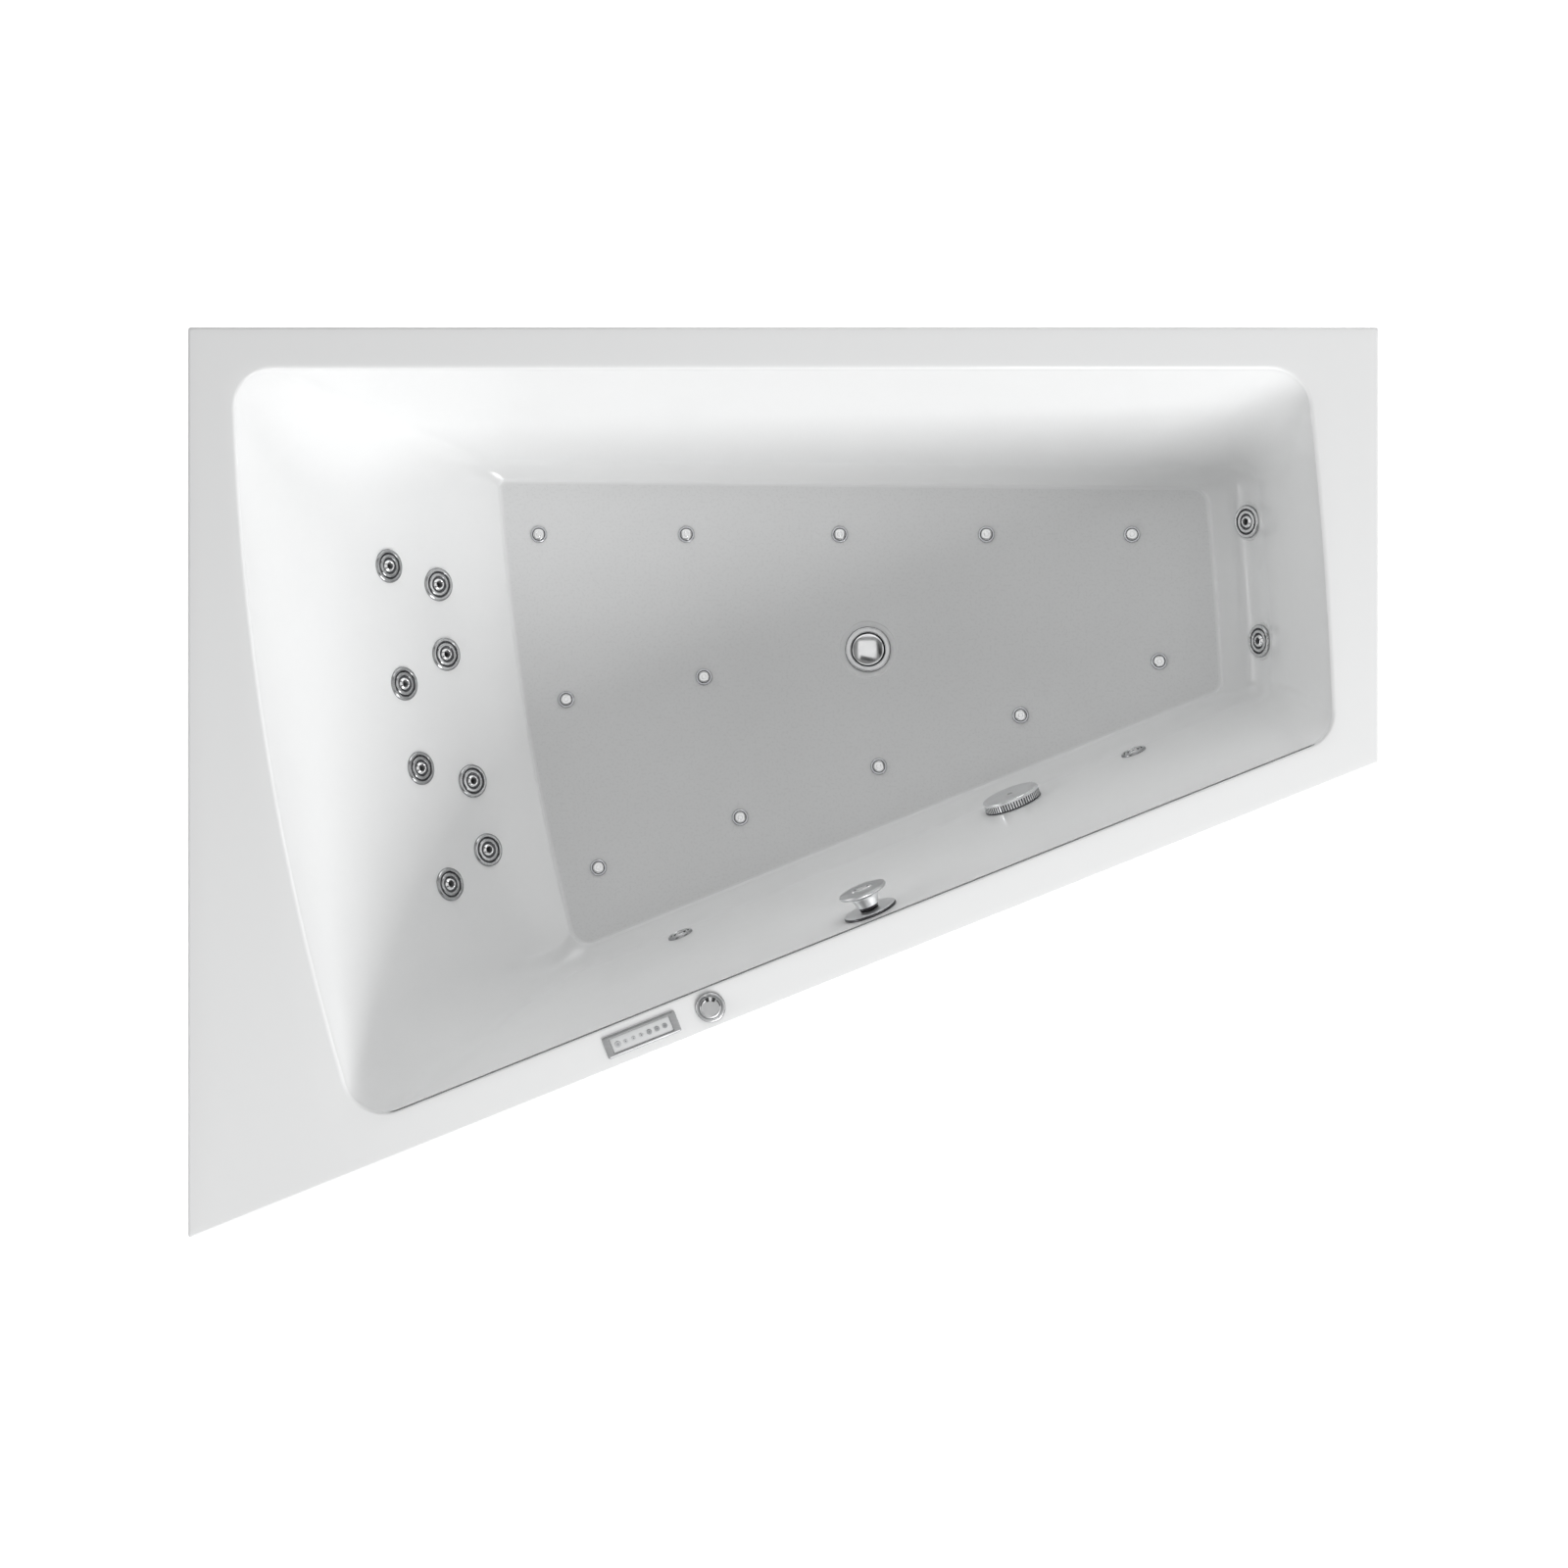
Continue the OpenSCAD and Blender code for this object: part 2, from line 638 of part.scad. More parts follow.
module jet_gaskets() {
  color("black") for (j = jets) on_seat(j[0]) difference() {
    translate([0, 0, j[2] - gasket_t]) cylinder(r = j[3] + boss_rim / 2, h = gasket_t);
    translate([0, 0, j[2] - gasket_t - overrun]) cylinder(r = j[4] + seat_gap, h = gasket_t + 2 * overrun);
  }
}
module jet_housings() {
  color("whitesmoke") for (j = jets) on_seat(j[0]) {
    z = j[2] - gasket_t;
    c = j[4] + cup_wall;
    low = j[2] - cup_depth;
    difference() {
      union() {
        translate([0, 0, z - clamp_t]) cylinder(r = j[3] + boss_rim / 2, h = clamp_t);
        translate([0, 0, low]) cylinder(r = c, h = z - low - clamp_t / 2);
        if (j[6] == 0) translate([0, 0, low - stub_l]) cylinder(r = hose_r, h = stub_l + cup_floor);
        else translate([0, 0, j[2] - stub_depth]) rotate([-90, 0, 0]) cylinder(r = hose_r, h = stub_reach);
      }
      translate([0, 0, j[2] - barrel_out - seat_gap])
          cylinder(r = j[4] + thread_gap, h = barrel_out + overrun);
      translate([0, 0, low + cup_floor]) cylinder(r = j[4] - cup_wall / 2, h = cup_depth - cup_floor);
      if (j[6] == 0) translate([0, 0, low - stub_l - overrun])
          cylinder(r = hose_bore_r, h = stub_l + cup_floor + 2 * overrun);
      else translate([0, 0, j[2] - stub_depth]) rotate([-90, 0, 0])
          cylinder(r = hose_bore_r, h = stub_reach + overrun);
    }
  }
}
module nozzle(j) {
  b = j[5];
  bore = nozzle_bore_d / 2 * b / ball_r;
  color("lightgray") on_seat(j[0]) translate([0, 0, ball_z(j)]) difference() {
    sphere(r = b);
    translate([0, 0, b * ball_face_share]) cylinder(r = b, h = b);
    translate([0, 0, -b - b * ball_face_share]) cylinder(r = b, h = b);
    translate([0, 0, -2 * b]) cylinder(r = bore, h = 4 * b);
    translate([0, 0, b * ball_face_share - bore / 4]) cylinder(r = bore * 1.25, h = b);
  }
}

module back_nozzle_1() { nozzle(jets[0]); }
module back_nozzle_2() { nozzle(jets[1]); }
module back_nozzle_3() { nozzle(jets[2]); }
module back_nozzle_4() { nozzle(jets[3]); }
module back_nozzle_5() { nozzle(jets[4]); }
module back_nozzle_6() { nozzle(jets[5]); }
module back_nozzle_7() { nozzle(jets[6]); }
module back_nozzle_8() { nozzle(jets[7]); }
module foot_nozzle_1() { nozzle(jets[8]); }
module foot_nozzle_2() { nozzle(jets[9]); }
module side_nozzle_1() { nozzle(jets[10]); }
module side_nozzle_2() { nozzle(jets[11]); }

// Air injectors through the floor, their caps and the pipe loop that feeds them
injector_lip = 2.5;
cap_floor = 1;
cap_h = 3;
cap_gap = 0.3;
cap_holes = 6;
cap_hole_r = 0.8;
loop_z = 80;
loop_r = 8;
loop_wall = 2;
boss_top = loop_z + 12;
tail_r = 4.5;
tail_l = 5.5;
air_bore_r = 2.5;
injector_r = injector_d / 2;
injector_cap_r = injector_cap_d / 2;
injector_nut_r = 11;
injector_nut_h = 7;
module air_injector_bodies() {
  color("silver") for (p = injectors) translate(up3(p, 0)) difference() {
    rotate_extrude() polygon([
      [0, boss_top - tail_l], [tail_r, boss_top - tail_l], [tail_r, boss_top], [stem_r, boss_top],
      [stem_r, floor_z], [injector_r, floor_z], [injector_r, floor_z + injector_lip / 3],
      [injector_r - injector_lip / 2, floor_z + injector_lip],
          [injector_cap_r + cap_gap, floor_z + injector_lip],
      [injector_cap_r + cap_gap, floor_z + cap_floor], [0, floor_z + cap_floor]
    ]);
    translate([0, 0, boss_top - tail_l - overrun]) cylinder(r = air_bore_r, h = floor_z);
  }
}
module air_injector_caps() {
  color("silver") for (p = injectors) translate(up3(p, floor_z + cap_floor)) difference() {
    rotate_extrude() polygon([
      [0, 0], [injector_cap_r, 0], [injector_cap_r, cap_h / 2], [injector_cap_r * 0.9, cap_h * 0.85],
      [injector_cap_r * 0.7, cap_h], [0, cap_h * 1.1]
    ]);
    for (a = [0:cap_holes - 1]) rotate([0, 0, a * 360 / cap_holes])
      translate([injector_cap_r * 0.55, 0, -overrun]) cylinder(r = cap_hole_r, h = 3 * overrun);
  }
}

// Pipes are straight runs joined by swept elbows, a little fuller than the pipe
elbow_skin = 1.5;
elbow_rim = 2;
module run(a, b, r) {
  v = b - a;
  translate(a) rotate([0, acos(v[2] / norm(v)), atan2(v[1], v[0])]) cylinder(r = r, h = norm(v));
}
function turn_at(p, k) =
  let (a = unit(p[k] - p[k - 1]), b = unit(p[k + 1] - p[k])) [a, unit(b - a * (a * b)), acos(a * b)];
function back_off(p, k, r) = k == 0 || k == len(p) - 1 ? 0 : r * tan(turn_at(p, k)[2] / 2);
module route(p, r, elbow, bend_r) {
  n = len(p) - 1;
  for (k = [0:n - 1]) {
    d = unit(p[k + 1] - p[k]);
    a = p[k] + d * (back_off(p, k, bend_r) - (k == 0 ? 0 : hair));
    b = p[k + 1] - d * (back_off(p, k + 1, bend_r) - (k == n - 1 ? 0 : hair));
    run(a, b, r);
  }
  for (k = [1:n - 1]) {
    t = turn_at(p, k);
    x = -t[1];
    y = t[0];
    z = cross(x, y);
    c = p[k] - y * back_off(p, k, bend_r) - x * bend_r;
    multmatrix([[x[0], y[0], z[0], c[0]], [x[1], y[1], z[1], c[1]], [x[2], y[2], z[2], c[2]], [0, 0, 0, 1]])
      rotate_extrude(angle = t[2]) translate([bend_r, 0]) circle(r = elbow);
  }
}
module pipe_skin(p, r) { route(p, r, r + elbow_skin, r + elbow_rim); }
module pipe_bore(p, r, wall) { route(p, r - wall, r + elbow_skin - wall, r + elbow_rim); }
function longer(p, d) =
  let (n = len(p) - 1)
  concat([p[0] + unit(p[0] - p[1]) * d], [for (k = [1:n - 1]) p[k]], [p[n] + unit(p[n] - p[n - 1]) * d]);
function longer_at_start(p, d) = concat([p[0] + unit(p[0] - p[1]) * d], [for (k = [1:len(p) - 1]) p[k]]);
blower_place_share = [-0.4206, 0.3846];
blower_x = blower_place_share[0] * bath_l;
blower_y = blower_place_share[1] * bath_w;
blower_r = 70;
blower_h = 110;
blower_port_z = 35;
blower_port_r = 14;
blower_drop = 25;
blower_drop_x = cross_places[0] + tube_w / 2 + blower_drop;
plate_t = 3;
plate_top = rail_top + plate_t;
loop_end = 15;
loop_pts = [for (k = [0, 4, 5, 9, 10]) up3(injectors[k], loop_z)];
air_pts = concat([
  [blower_x + blower_r + blower_port_r, blower_y, plate_top + blower_port_z],
  [blower_drop_x, blower_y, plate_top + blower_port_z], [blower_drop_x, blower_y, loop_z]
], [for (k = [0:3]) loop_pts[k]], [loop_pts[4] + unit(loop_pts[4] - loop_pts[3]) * loop_end]);
branch = up3(injectors[11], loop_z);
branch_start = [branch[0], loop_pts[0][1], loop_z];
module air_pipe() {
  color("lightgray") difference() {
    union() {
      pipe_skin(air_pts, loop_r);
      run(branch_start, branch - [0, loop_end, 0], loop_r - hair * 5);
      for (p = injectors) translate(up3(p, loop_z)) cylinder(r = loop_r - hair * 5, h = boss_top - loop_z);
    }
    pipe_bore(concat([air_pts[0] - [overrun, 0, 0]], [for (k = [1:6]) air_pts[k]], [loop_pts[4]]), loop_r,
        loop_wall);
    run(branch_start, branch, loop_r - hair * 5 - loop_wall);
    for (p = injectors) translate(up3(p, loop_z)) cylinder(r = tail_r + thread_gap, h = boss_top);
  }
}

// Lock nuts behind the floor, the wall and the rim
suction_nut_r = 38;
suction_nut_h = 10;
air_nut_r = 19;
air_nut_h = 8;
module ring(r, bore, h) {
  difference() {
    cylinder(r = r, h = h);
    translate([0, 0, -overrun]) cylinder(r = bore, h = h + 2 * overrun);
  }
}
module hex_nut(r, bore, h) {
  difference() {
    cylinder(r = r, h = h, $fn = 6);
    translate([0, 0, -overrun]) cylinder(r = bore, h = h + 2 * overrun);
  }
}
module lock_nuts() {
  color("white") {
    for (p = injectors) translate(up3(p, under_z - injector_nut_h))
        hex_nut(injector_nut_r, stem_r + thread_gap, injector_nut_h);
    on_seat(suction_seat) translate([0, 0, flat_out - suction_nut_h])
      ring(suction_nut_r, suction_hole_r + thread_gap, suction_nut_h);
    on_rim(air_place) translate([0, 0, -shell_t - air_nut_h])
        hex_nut(air_nut_r, air_tube_r + thread_gap, air_nut_h);
  }
}

// Suction fitting: body through the wall, slotted cover and its screw
suction_web_t = 4;
suction_hub_r = 6;
suction_screw_r = 2;
suction_screw_head_r = 4;
suction_screw_head_h = 2.5;
suction_screw_l = 24;
cover_t = 4;
cover_wall = 4;
cover_slots = 24;
cover_slot_w = 5;
module suction_body() {
  mouth = flat_in + suction_flange_h;
  back = flat_out - suction_out;
  color("gray") on_seat(suction_seat) {
    difference() {
      union() {
        translate([0, 0, flat_in]) cylinder(r = suction_flange_r, h = suction_flange_h);
        translate([0, 0, back]) cylinder(r = suction_hole_r, h = mouth - back - suction_flange_h / 2);
        translate([0, 0, back + suction_port_r + cup_floor]) rotate([90, 0, 0])
          cylinder(r = suction_port_r, h = suction_port_l);
      }
      translate([0, 0, back + cup_floor]) cylinder(r = suction_hole_r - pipe_wall,
          h = mouth - back + overrun);
      translate([0, 0, back + suction_port_r + cup_floor]) rotate([90, 0, 0])
        cylinder(r = suction_port_r - pipe_wall, h = suction_port_l + overrun);
    }
    difference() {
      union() {
        for (a = [0, 90]) rotate([0, 0, a + 45])
          translate([-suction_hole_r + pipe_wall / 2, -suction_web_t / 2,
              mouth - suction_flange_h - suction_hub_r])
          cube([2 * suction_hole_r - pipe_wall, suction_web_t, suction_hub_r]);
        translate([0, 0, mouth - 3 * suction_hub_r]) cylinder(r = suction_hub_r, h = 3 * suction_hub_r);
      }
      translate([0, 0, mouth - 4 * suction_hub_r])
          cylinder(r = suction_screw_r + thread_gap, h = 5 * suction_hub_r);
    }
  }
}
module suction_cover() {
  low = flat_in + suction_flange_h;
  r = suction_d / 2;
  color("gray") on_seat(suction_seat) difference() {
    union() {
      difference() {
        rotate_extrude() polygon([
          [0, flat_in + seat_gap], [r, flat_in + seat_gap], [r, low + suction_h * 0.8],
              [r * 0.96, low + suction_h],
          [0, low + suction_h]
        ]);
        translate([0, 0, low - overrun]) cylinder(r = r - cover_wall, h = suction_h - cover_t + overrun);
      }
      translate([0, 0, low]) cylinder(r = suction_hub_r, h = suction_h - cover_t / 2);
    }
    for (k = [0:cover_slots - 1]) rotate([0, 0, k * 360 / cover_slots])
      translate([r - 2 * cover_wall, -cover_slot_w / 2, flat_in + suction_flange_h])
      cube([overrun, cover_slot_w, suction_h - cover_t - cover_t / 2]);
    translate([0, 0, low - overrun]) cylinder(r = suction_screw_r + thread_gap,
        h = suction_h + 2 * overrun);
    translate([0, 0, low + suction_h - suction_screw_head_h])
      cylinder(r = suction_screw_head_r + fit_gap, h = overrun);
  }
}
module suction_screw() {
  top = flat_in + suction_flange_h + suction_h;
  color("silver") on_seat(suction_seat) difference() {
    union() {
      translate([0, 0, top - suction_screw_head_h])
          cylinder(r = suction_screw_head_r, h = suction_screw_head_h);
      translate([0, 0, top - suction_screw_l]) cylinder(r = suction_screw_r,
          h = suction_screw_l - suction_screw_head_h / 2);
    }
    translate([-suction_screw_head_r, -hair * 4, top - suction_screw_head_h / 3])
        cube([2 * suction_screw_head_r, hair * 8, overrun]);
  }
}

// Waste: flange in the floor, body under it, pop-up plug and low trap
waste_r = waste_d / 2;
plug_r = plug_d / 2;
throat_gap = 1.5;
flange_h = 2.5;
seat_drop = 5;
seat_w = 4.5;
waste_barrel = 24;
waste_body_r = 38;
waste_cup_r = 30;
waste_body_h = 50;
guide_h = 8;
guide_r = 7;
guide_web = 3;
plug_stem_r = 3;
plug_dome = 4;
plug_edge = 3;
plug_seal = 2;
guide_low = under_z - waste_body_h + 16;
body_low = under_z - waste_body_h;
waste_top = floor_z - waste_recess + flange_h;
module waste_flange() {
  color("silver") translate(up3(waste, 0)) rotate_extrude() polygon([
    [waste_hole_r - seat_w + hair, under_z - waste_barrel], [waste_hole_r, under_z - waste_barrel],
    [waste_hole_r, floor_z - waste_recess], [waste_r, floor_z - waste_recess],
    [waste_r, floor_z - waste_recess + flange_h * 0.3], [waste_r * 0.95, waste_top - flange_h * 0.2],
    [waste_r * 0.88, waste_top], [plug_r + 2 * throat_gap, waste_top],
        [plug_r + throat_gap, waste_top - flange_h * 0.4],
    [plug_r + throat_gap, waste_top - seat_drop], [plug_r + throat_gap - seat_w, waste_top - seat_drop],
    [plug_r + throat_gap - seat_w, waste_top - 2 * seat_drop]
  ]);
}
module waste_body() {
  side = atan2(waste_feed_dir[1], waste_feed_dir[0]);
  color("whitesmoke") translate(up3(waste, 0)) {
    difference() {
      union() {
        translate([0, 0, under_z - gasket_t - clamp_t])
            cylinder(r = waste_body_r + clamp_t, h = clamp_t + gasket_t);
        translate([0, 0, body_low]) cylinder(r = waste_body_r, h = waste_body_h - clamp_t);
        translate([0, 0, cross_pipe_z]) rotate([0, 0, side]) rotate([0, 90, 0])
          cylinder(r = overflow_port_r, h = waste_body_r + clamp_t);
        translate([0, 0, cable_z]) rotate([0, 0, side]) translate([0, -cable_off, 0]) rotate([0, 90, 0])
          cylinder(r = 2 * cable_r, h = waste_body_r + clamp_t);
      }
      translate([0, 0, under_z - waste_barrel - hair])
          cylinder(r = waste_hole_r + thread_gap, h = waste_barrel + overrun);
      translate([0, 0, body_low - overrun]) cylinder(r = waste_cup_r - cup_wall, h = waste_body_h);
      translate([0, 0, cross_pipe_z]) rotate([0, 0, side]) rotate([0, 90, 0])
        cylinder(r = overflow_port_r - pipe_wall, h = waste_body_r + overrun);
    }
    difference() {
      union() {
        for (a = [0, 90]) rotate([0, 0, a]) translate([-waste_cup_r, -guide_web / 2, guide_low])
          cube([2 * waste_cup_r, guide_web, guide_h / 2]);
        translate([0, 0, guide_low]) cylinder(r = guide_r, h = guide_h);
      }
      translate([0, 0, guide_low - overrun]) cylinder(r = plug_stem_r + thread_gap,
          h = guide_h + 2 * overrun);
    }
  }
}
module waste_plug() {
  low = waste_top - seat_drop;
  color("silver") translate(up3(waste, 0)) rotate_extrude() polygon([
    [0, guide_low - plug_edge], [plug_stem_r, guide_low - plug_edge], [plug_stem_r, low - plug_seal],
    [plug_r * 0.6, low - plug_seal], [plug_r * 0.7, low], [plug_r, low + hair / 2],
        [plug_r, low + plug_seal + plug_edge],
    [plug_r * 0.94, low + plug_seal + plug_edge + plug_dome * 0.45],
    [plug_r * 0.7, low + plug_seal + plug_edge + plug_dome * 0.8],
    [plug_r * 0.35, low + plug_seal + plug_edge + plug_dome * 0.96],
    [0, low + plug_seal + plug_edge + plug_dome]
  ]);
}
trap_r = 36;
trap_low = 15;
outlet_r = outlet_d / 2;
outlet_z = 44;
outlet_l = 121;
outlet_stop = 4;
dip_r = 20;
module waste_trap() {
  color("whitesmoke") translate(up3(waste, 0)) difference() {
    union() {
      translate([0, 0, trap_low]) cylinder(r = trap_r, h = body_low - trap_low);
      translate([0, 0, outlet_z]) rotate([-90, 0, 0]) cylinder(r = outlet_r, h = outlet_l);
      translate([0, 0, outlet_z]) rotate([-90, 0, 0])
        cylinder(r = outlet_r + outlet_stop, h = trap_r + outlet_stop);
    }
    translate([0, 0, trap_low + pipe_wall]) difference() {
      cylinder(r = trap_r - pipe_wall, h = body_low - trap_low - 2 * pipe_wall);
      translate([0, 0, pipe_wall * 2]) cylinder(r = dip_r + pipe_wall, h = body_low);
    }
    translate([0, 0, trap_low + 2 * pipe_wall]) cylinder(r = dip_r, h = body_low);
    translate([0, trap_r - pipe_wall * 2, outlet_z]) rotate([-90, 0, 0])
        cylinder(r = outlet_r - pipe_wall, h = outlet_l);
  }
}

// Overflow: clamp ring and cup on the front wall, turning control, drop pipe and pull cable
control_r = control_d / 2;
control_gap = 1.5;
control_h = 30;
control_neck_r = 14;
control_hub_r = 12.5;
control_shaft_r = 5;
control_eye_r = 2;
overflow_spokes = 3;
overflow_spoke_w = 4;
cable_r = 3;
cable_off = 26;
cable_z = 100;
cross_pipe_z = 108;
over_gap = 2;
over_rail_z = rail_top + overflow_port_r + over_gap;
drop_inset = 38;
inside_inset = 128;
feed_along = front_dir * (flat(overflow_seat[0]) - outline[3]);
overflow_port = overflow_seat[0] + overflow_seat[1] * (flat_out - overflow_cup_l / 2) - overflow_seat[2]
    * overflow_port_l;
feed_turn = along_front(feed_along, inside_inset, cross_pipe_z);
waste_feed_dir = unit(flat(feed_turn) - waste);
module overflow_body() {
  back = flat_out - overflow_cup_l;
  color("dimgray") on_seat(overflow_seat) {
    difference() {
      union() {
        translate([0, 0, flat_in]) rotate_extrude() polygon([
          [0, 0], [overflow_ring_d / 2, 0], [overflow_ring_d / 2, overflow_ring_h * 0.4],
          [overflow_ring_d / 2 * 0.95, overflow_ring_h], [0, overflow_ring_h]
        ]);
        translate([0, 0, flat_out - 2 * clamp_t])
            cylinder(r = overflow_hole_r, h = 2 * clamp_t + flat_in - flat_out + hair);
      }
      difference() {
        translate([0, 0, flat_out - overrun]) cylinder(r = overflow_hole_r - pipe_wall,
            h = 2 * overrun + shell_t);
        for (k = [0:overflow_spokes - 1]) rotate([0, 0, k * 360 / overflow_spokes])
          translate([0, -overflow_spoke_w / 2, flat_in - clamp_t])
              cube([overflow_hole_r, overflow_spoke_w, clamp_t]);
        translate([0, 0, flat_in - 2 * clamp_t]) cylinder(r = 2 * control_shaft_r, h = 2 * clamp_t);
      }
      translate([0, 0, flat_out - overrun]) cylinder(r = control_shaft_r + thread_gap / 2, h = 3 * overrun);
    }
    difference() {
      union() {
        translate([0, 0, back]) cylinder(r = overflow_cup_r, h = flat_out - back);
        translate([0, 0, flat_out - overflow_cup_l / 2]) rotate([90, 0, 0])
            cylinder(r = overflow_port_r, h = overflow_port_l);
        translate([cable_off, 0, flat_out - overflow_cup_l / 2]) rotate([90, 0, 0])
            cylinder(r = 2 * cable_r - hair, h = overflow_port_l - clamp_t);
      }
      translate([0, 0, back + pipe_wall]) cylinder(r = overflow_hole_r + thread_gap, h = overflow_cup_l);
      translate([0, 0, flat_out - overflow_cup_l / 2]) rotate([90, 0, 0])
        cylinder(r = overflow_port_r - pipe_wall, h = overflow_port_l + overrun);
    }
  }
}
module overflow_control() {
  z0 = flat_in + overflow_ring_h + control_gap;
  r = control_r;
  color("gray") on_seat(overflow_seat) difference() {
    rotate_extrude() polygon([
      [0, flat_out - 2 * clamp_t], [control_shaft_r, flat_out - 2 * clamp_t], [control_shaft_r, z0],
      [control_neck_r, z0], [control_neck_r * 1.1, z0 + control_h * 0.2],
          [control_neck_r * 1.4, z0 + control_h * 0.45],
      [r * 0.78, z0 + control_h * 0.68], [r * 0.95, z0 + control_h * 0.8], [r, z0 + control_h * 0.84],
      [r, z0 + control_h * 0.93], [r * 0.96, z0 + control_h], [control_hub_r, z0 + control_h],
      [control_hub_r * 0.96, z0 + control_h * 1.05], [0, z0 + control_h * 1.05]
    ]);
    for (s = [-1, 1]) translate([s * control_hub_r / 2, 0, z0 + control_h])
        cylinder(r = control_eye_r, h = overrun);
  }
}
module overflow_pipe() {
  pts = [
    overflow_port, overflow_port - overflow_seat[2] * overflow_port_l / 2,
    along_front(feed_along, drop_inset, over_rail_z), along_front(feed_along, inside_inset, over_rail_z),
    feed_turn, up3(waste + waste_feed_dir * (waste_body_r + clamp_t), cross_pipe_z)
  ];
  color("lightgray") difference() {
    pipe_skin(pts, overflow_port_r);
    pipe_bore(longer(pts, overrun), overflow_port_r, pipe_wall);
  }
}

// A round tube swept along points, as one closed skin with parallel rings
function dir_at(p, k) = let (n = len(p) - 1) unit(p[min(k + 1, n)] - p[max(k - 1, 0)]);
module tube(points, r, side, ends) {
  n = len(points);
  m = 8;
  rings = [
    for (k = [0:n - 1])
      let (
        t = k == 0 ? ends[0] : k == n - 1 ? ends[1] : dir_at(points, k),
        v = unit(side - t * (side * t)),
        w = cross(t, v)
      )
      [for (j = [0:m - 1]) points[k] + (v * cos(j * 360 / m) + w * sin(j * 360 / m)) * r]
  ];
  faces = concat(
    [
      for (k = [0:n - 2], j = [0:m - 1])
        let (i = (j + 1) % m)
        each [[k * m + i, k * m + j, (k + 1) * m + j], [k * m + i, (k + 1) * m + j, (k + 1) * m + i]]
    ],
    [[for (j = [0:m - 1]) j]],
    [[for (j = [m - 1:-1:0]) (n - 1) * m + j]]
  );
  polyhedron([for (q = rings) each q], faces);
}
// Corners of a route are cut twice, so it bends in smooth sweeps
function cut_corners(p, n) =
  n == 0
    ? p
    : cut_corners(concat(
        [p[0]],
        [for (k = [0:len(p) - 2]) each [mix(p[k], p[k + 1], 1 / 4), mix(p[k], p[k + 1], 3 / 4)]],
        [p[len(p) - 1]]
      ), n - 1);
module bowden_cable() {
  start = overflow_seat[0] + overflow_seat[1] * (flat_out - overflow_cup_l / 2)
    - overflow_seat[2] * (overflow_port_l - clamp_t) + cross(overflow_seat[2], overflow_seat[1])
        * cable_off;
  out = -overflow_seat[2];
  off = [waste_feed_dir[1], -waste_feed_dir[0]] * cable_off;
  finish = up3(waste + waste_feed_dir * (waste_body_r + clamp_t) + off, cable_z);
  along = feed_along - cable_off;
  color("black") tube(cut_corners([
    start, start + out * rod_d, along_front(along, drop_inset, over_rail_z + 2 * overrun),
    along_front(along, drop_inset, over_rail_z), along_front(along, inside_inset, over_rail_z - cable_r),
    up3(feed_turn + up3(off, 0), cable_z), finish + up3(waste_feed_dir, 0) * rod_d, finish
  ], 2), cable_r, [1, 0, 0], [out, -up3(waste_feed_dir, 0)]);
}

// Air control on the rim: ring, tube, and the knob that turns in it
air_ring_h = 4;
air_tube_l = 60;
air_stub_r = 7;
air_stub_l = 14;
air_knob_h = 9;
air_knob_stem_r = 6;
air_well = 2;
air_mark_w = 3;
module air_control_body() {
  r = air_ring_d / 2;
  color("gray") on_rim(air_place) difference() {
    rotate_extrude() polygon([
      [0, -air_tube_l - air_stub_l], [air_stub_r, -air_tube_l - air_stub_l], [air_stub_r, -air_tube_l],
      [air_tube_r, -air_tube_l], [air_tube_r, 0], [r, 0], [r, air_ring_h * 0.4], [r * 0.93, air_ring_h],
      [air_knob_d / 2 + 2 * throat_gap, air_ring_h], [air_knob_d / 2 + throat_gap, air_well], [0, air_well]
    ]);
    translate([0, 0, -air_tube_l - air_stub_l - overrun])
        cylinder(r = air_stub_r - loop_wall, h = air_tube_l + overrun);
    translate([0, 0, -air_tube_l / 2]) cylinder(r = air_knob_stem_r + thread_gap / 2, h = air_tube_l);
  }
}
module air_control_knob() {
  r = air_knob_d / 2;
  low = air_well + hair;
  color("silver") on_rim(air_place) difference() {
    rotate_extrude() polygon([
      [0, -air_tube_l / 3], [air_knob_stem_r, -air_tube_l / 3], [air_knob_stem_r, low], [r, low],
      [r, air_knob_h * 0.85], [r * 0.93, air_knob_h], [0, air_knob_h]
    ]);
    translate([-air_mark_w / 2, r * 0.75, air_knob_h * 0.6]) cube([air_mark_w, r, overrun]);
  }
}

// Keypad on the rim: frame, housing with its face plate, and seven buttons
keypad_h = 3.5;
plate_l = 91;
plate_w = 22;
face_t = 1.2;
face_top = 2.2;
key_box_h = 26;
key_well = 4;
key_flange = 1;
key_flange_t = 0.9;
key_gap = 0.15;
key_rise = 0.8;
key_stem_r = 1;
key_stem_l = 2.4;
key_radii = [4.4, 2.7, 2.7, 2.7, 3.7, 3.7, 3.7];
key_first = -3 * key_pitch;
module keypad_frame() {
  color("gray") on_rim(keypad_place) difference() {
    translate([-keypad_l / 2, -keypad_w / 2, 0]) cube([keypad_l, keypad_w, keypad_h]);
    translate([-plate_l / 2, -plate_w / 2, -overrun]) cube([plate_l, plate_w, 3 * overrun]);
    for (s = [-1, 1]) rotate([s * 45, 0, 0]) translate([-keypad_l, -keypad_w,
        keypad_w / 2 * sin(45) + keypad_h * sin(45) - hair * 5])
      cube([2 * keypad_l, 2 * keypad_w, overrun]);
  }
}
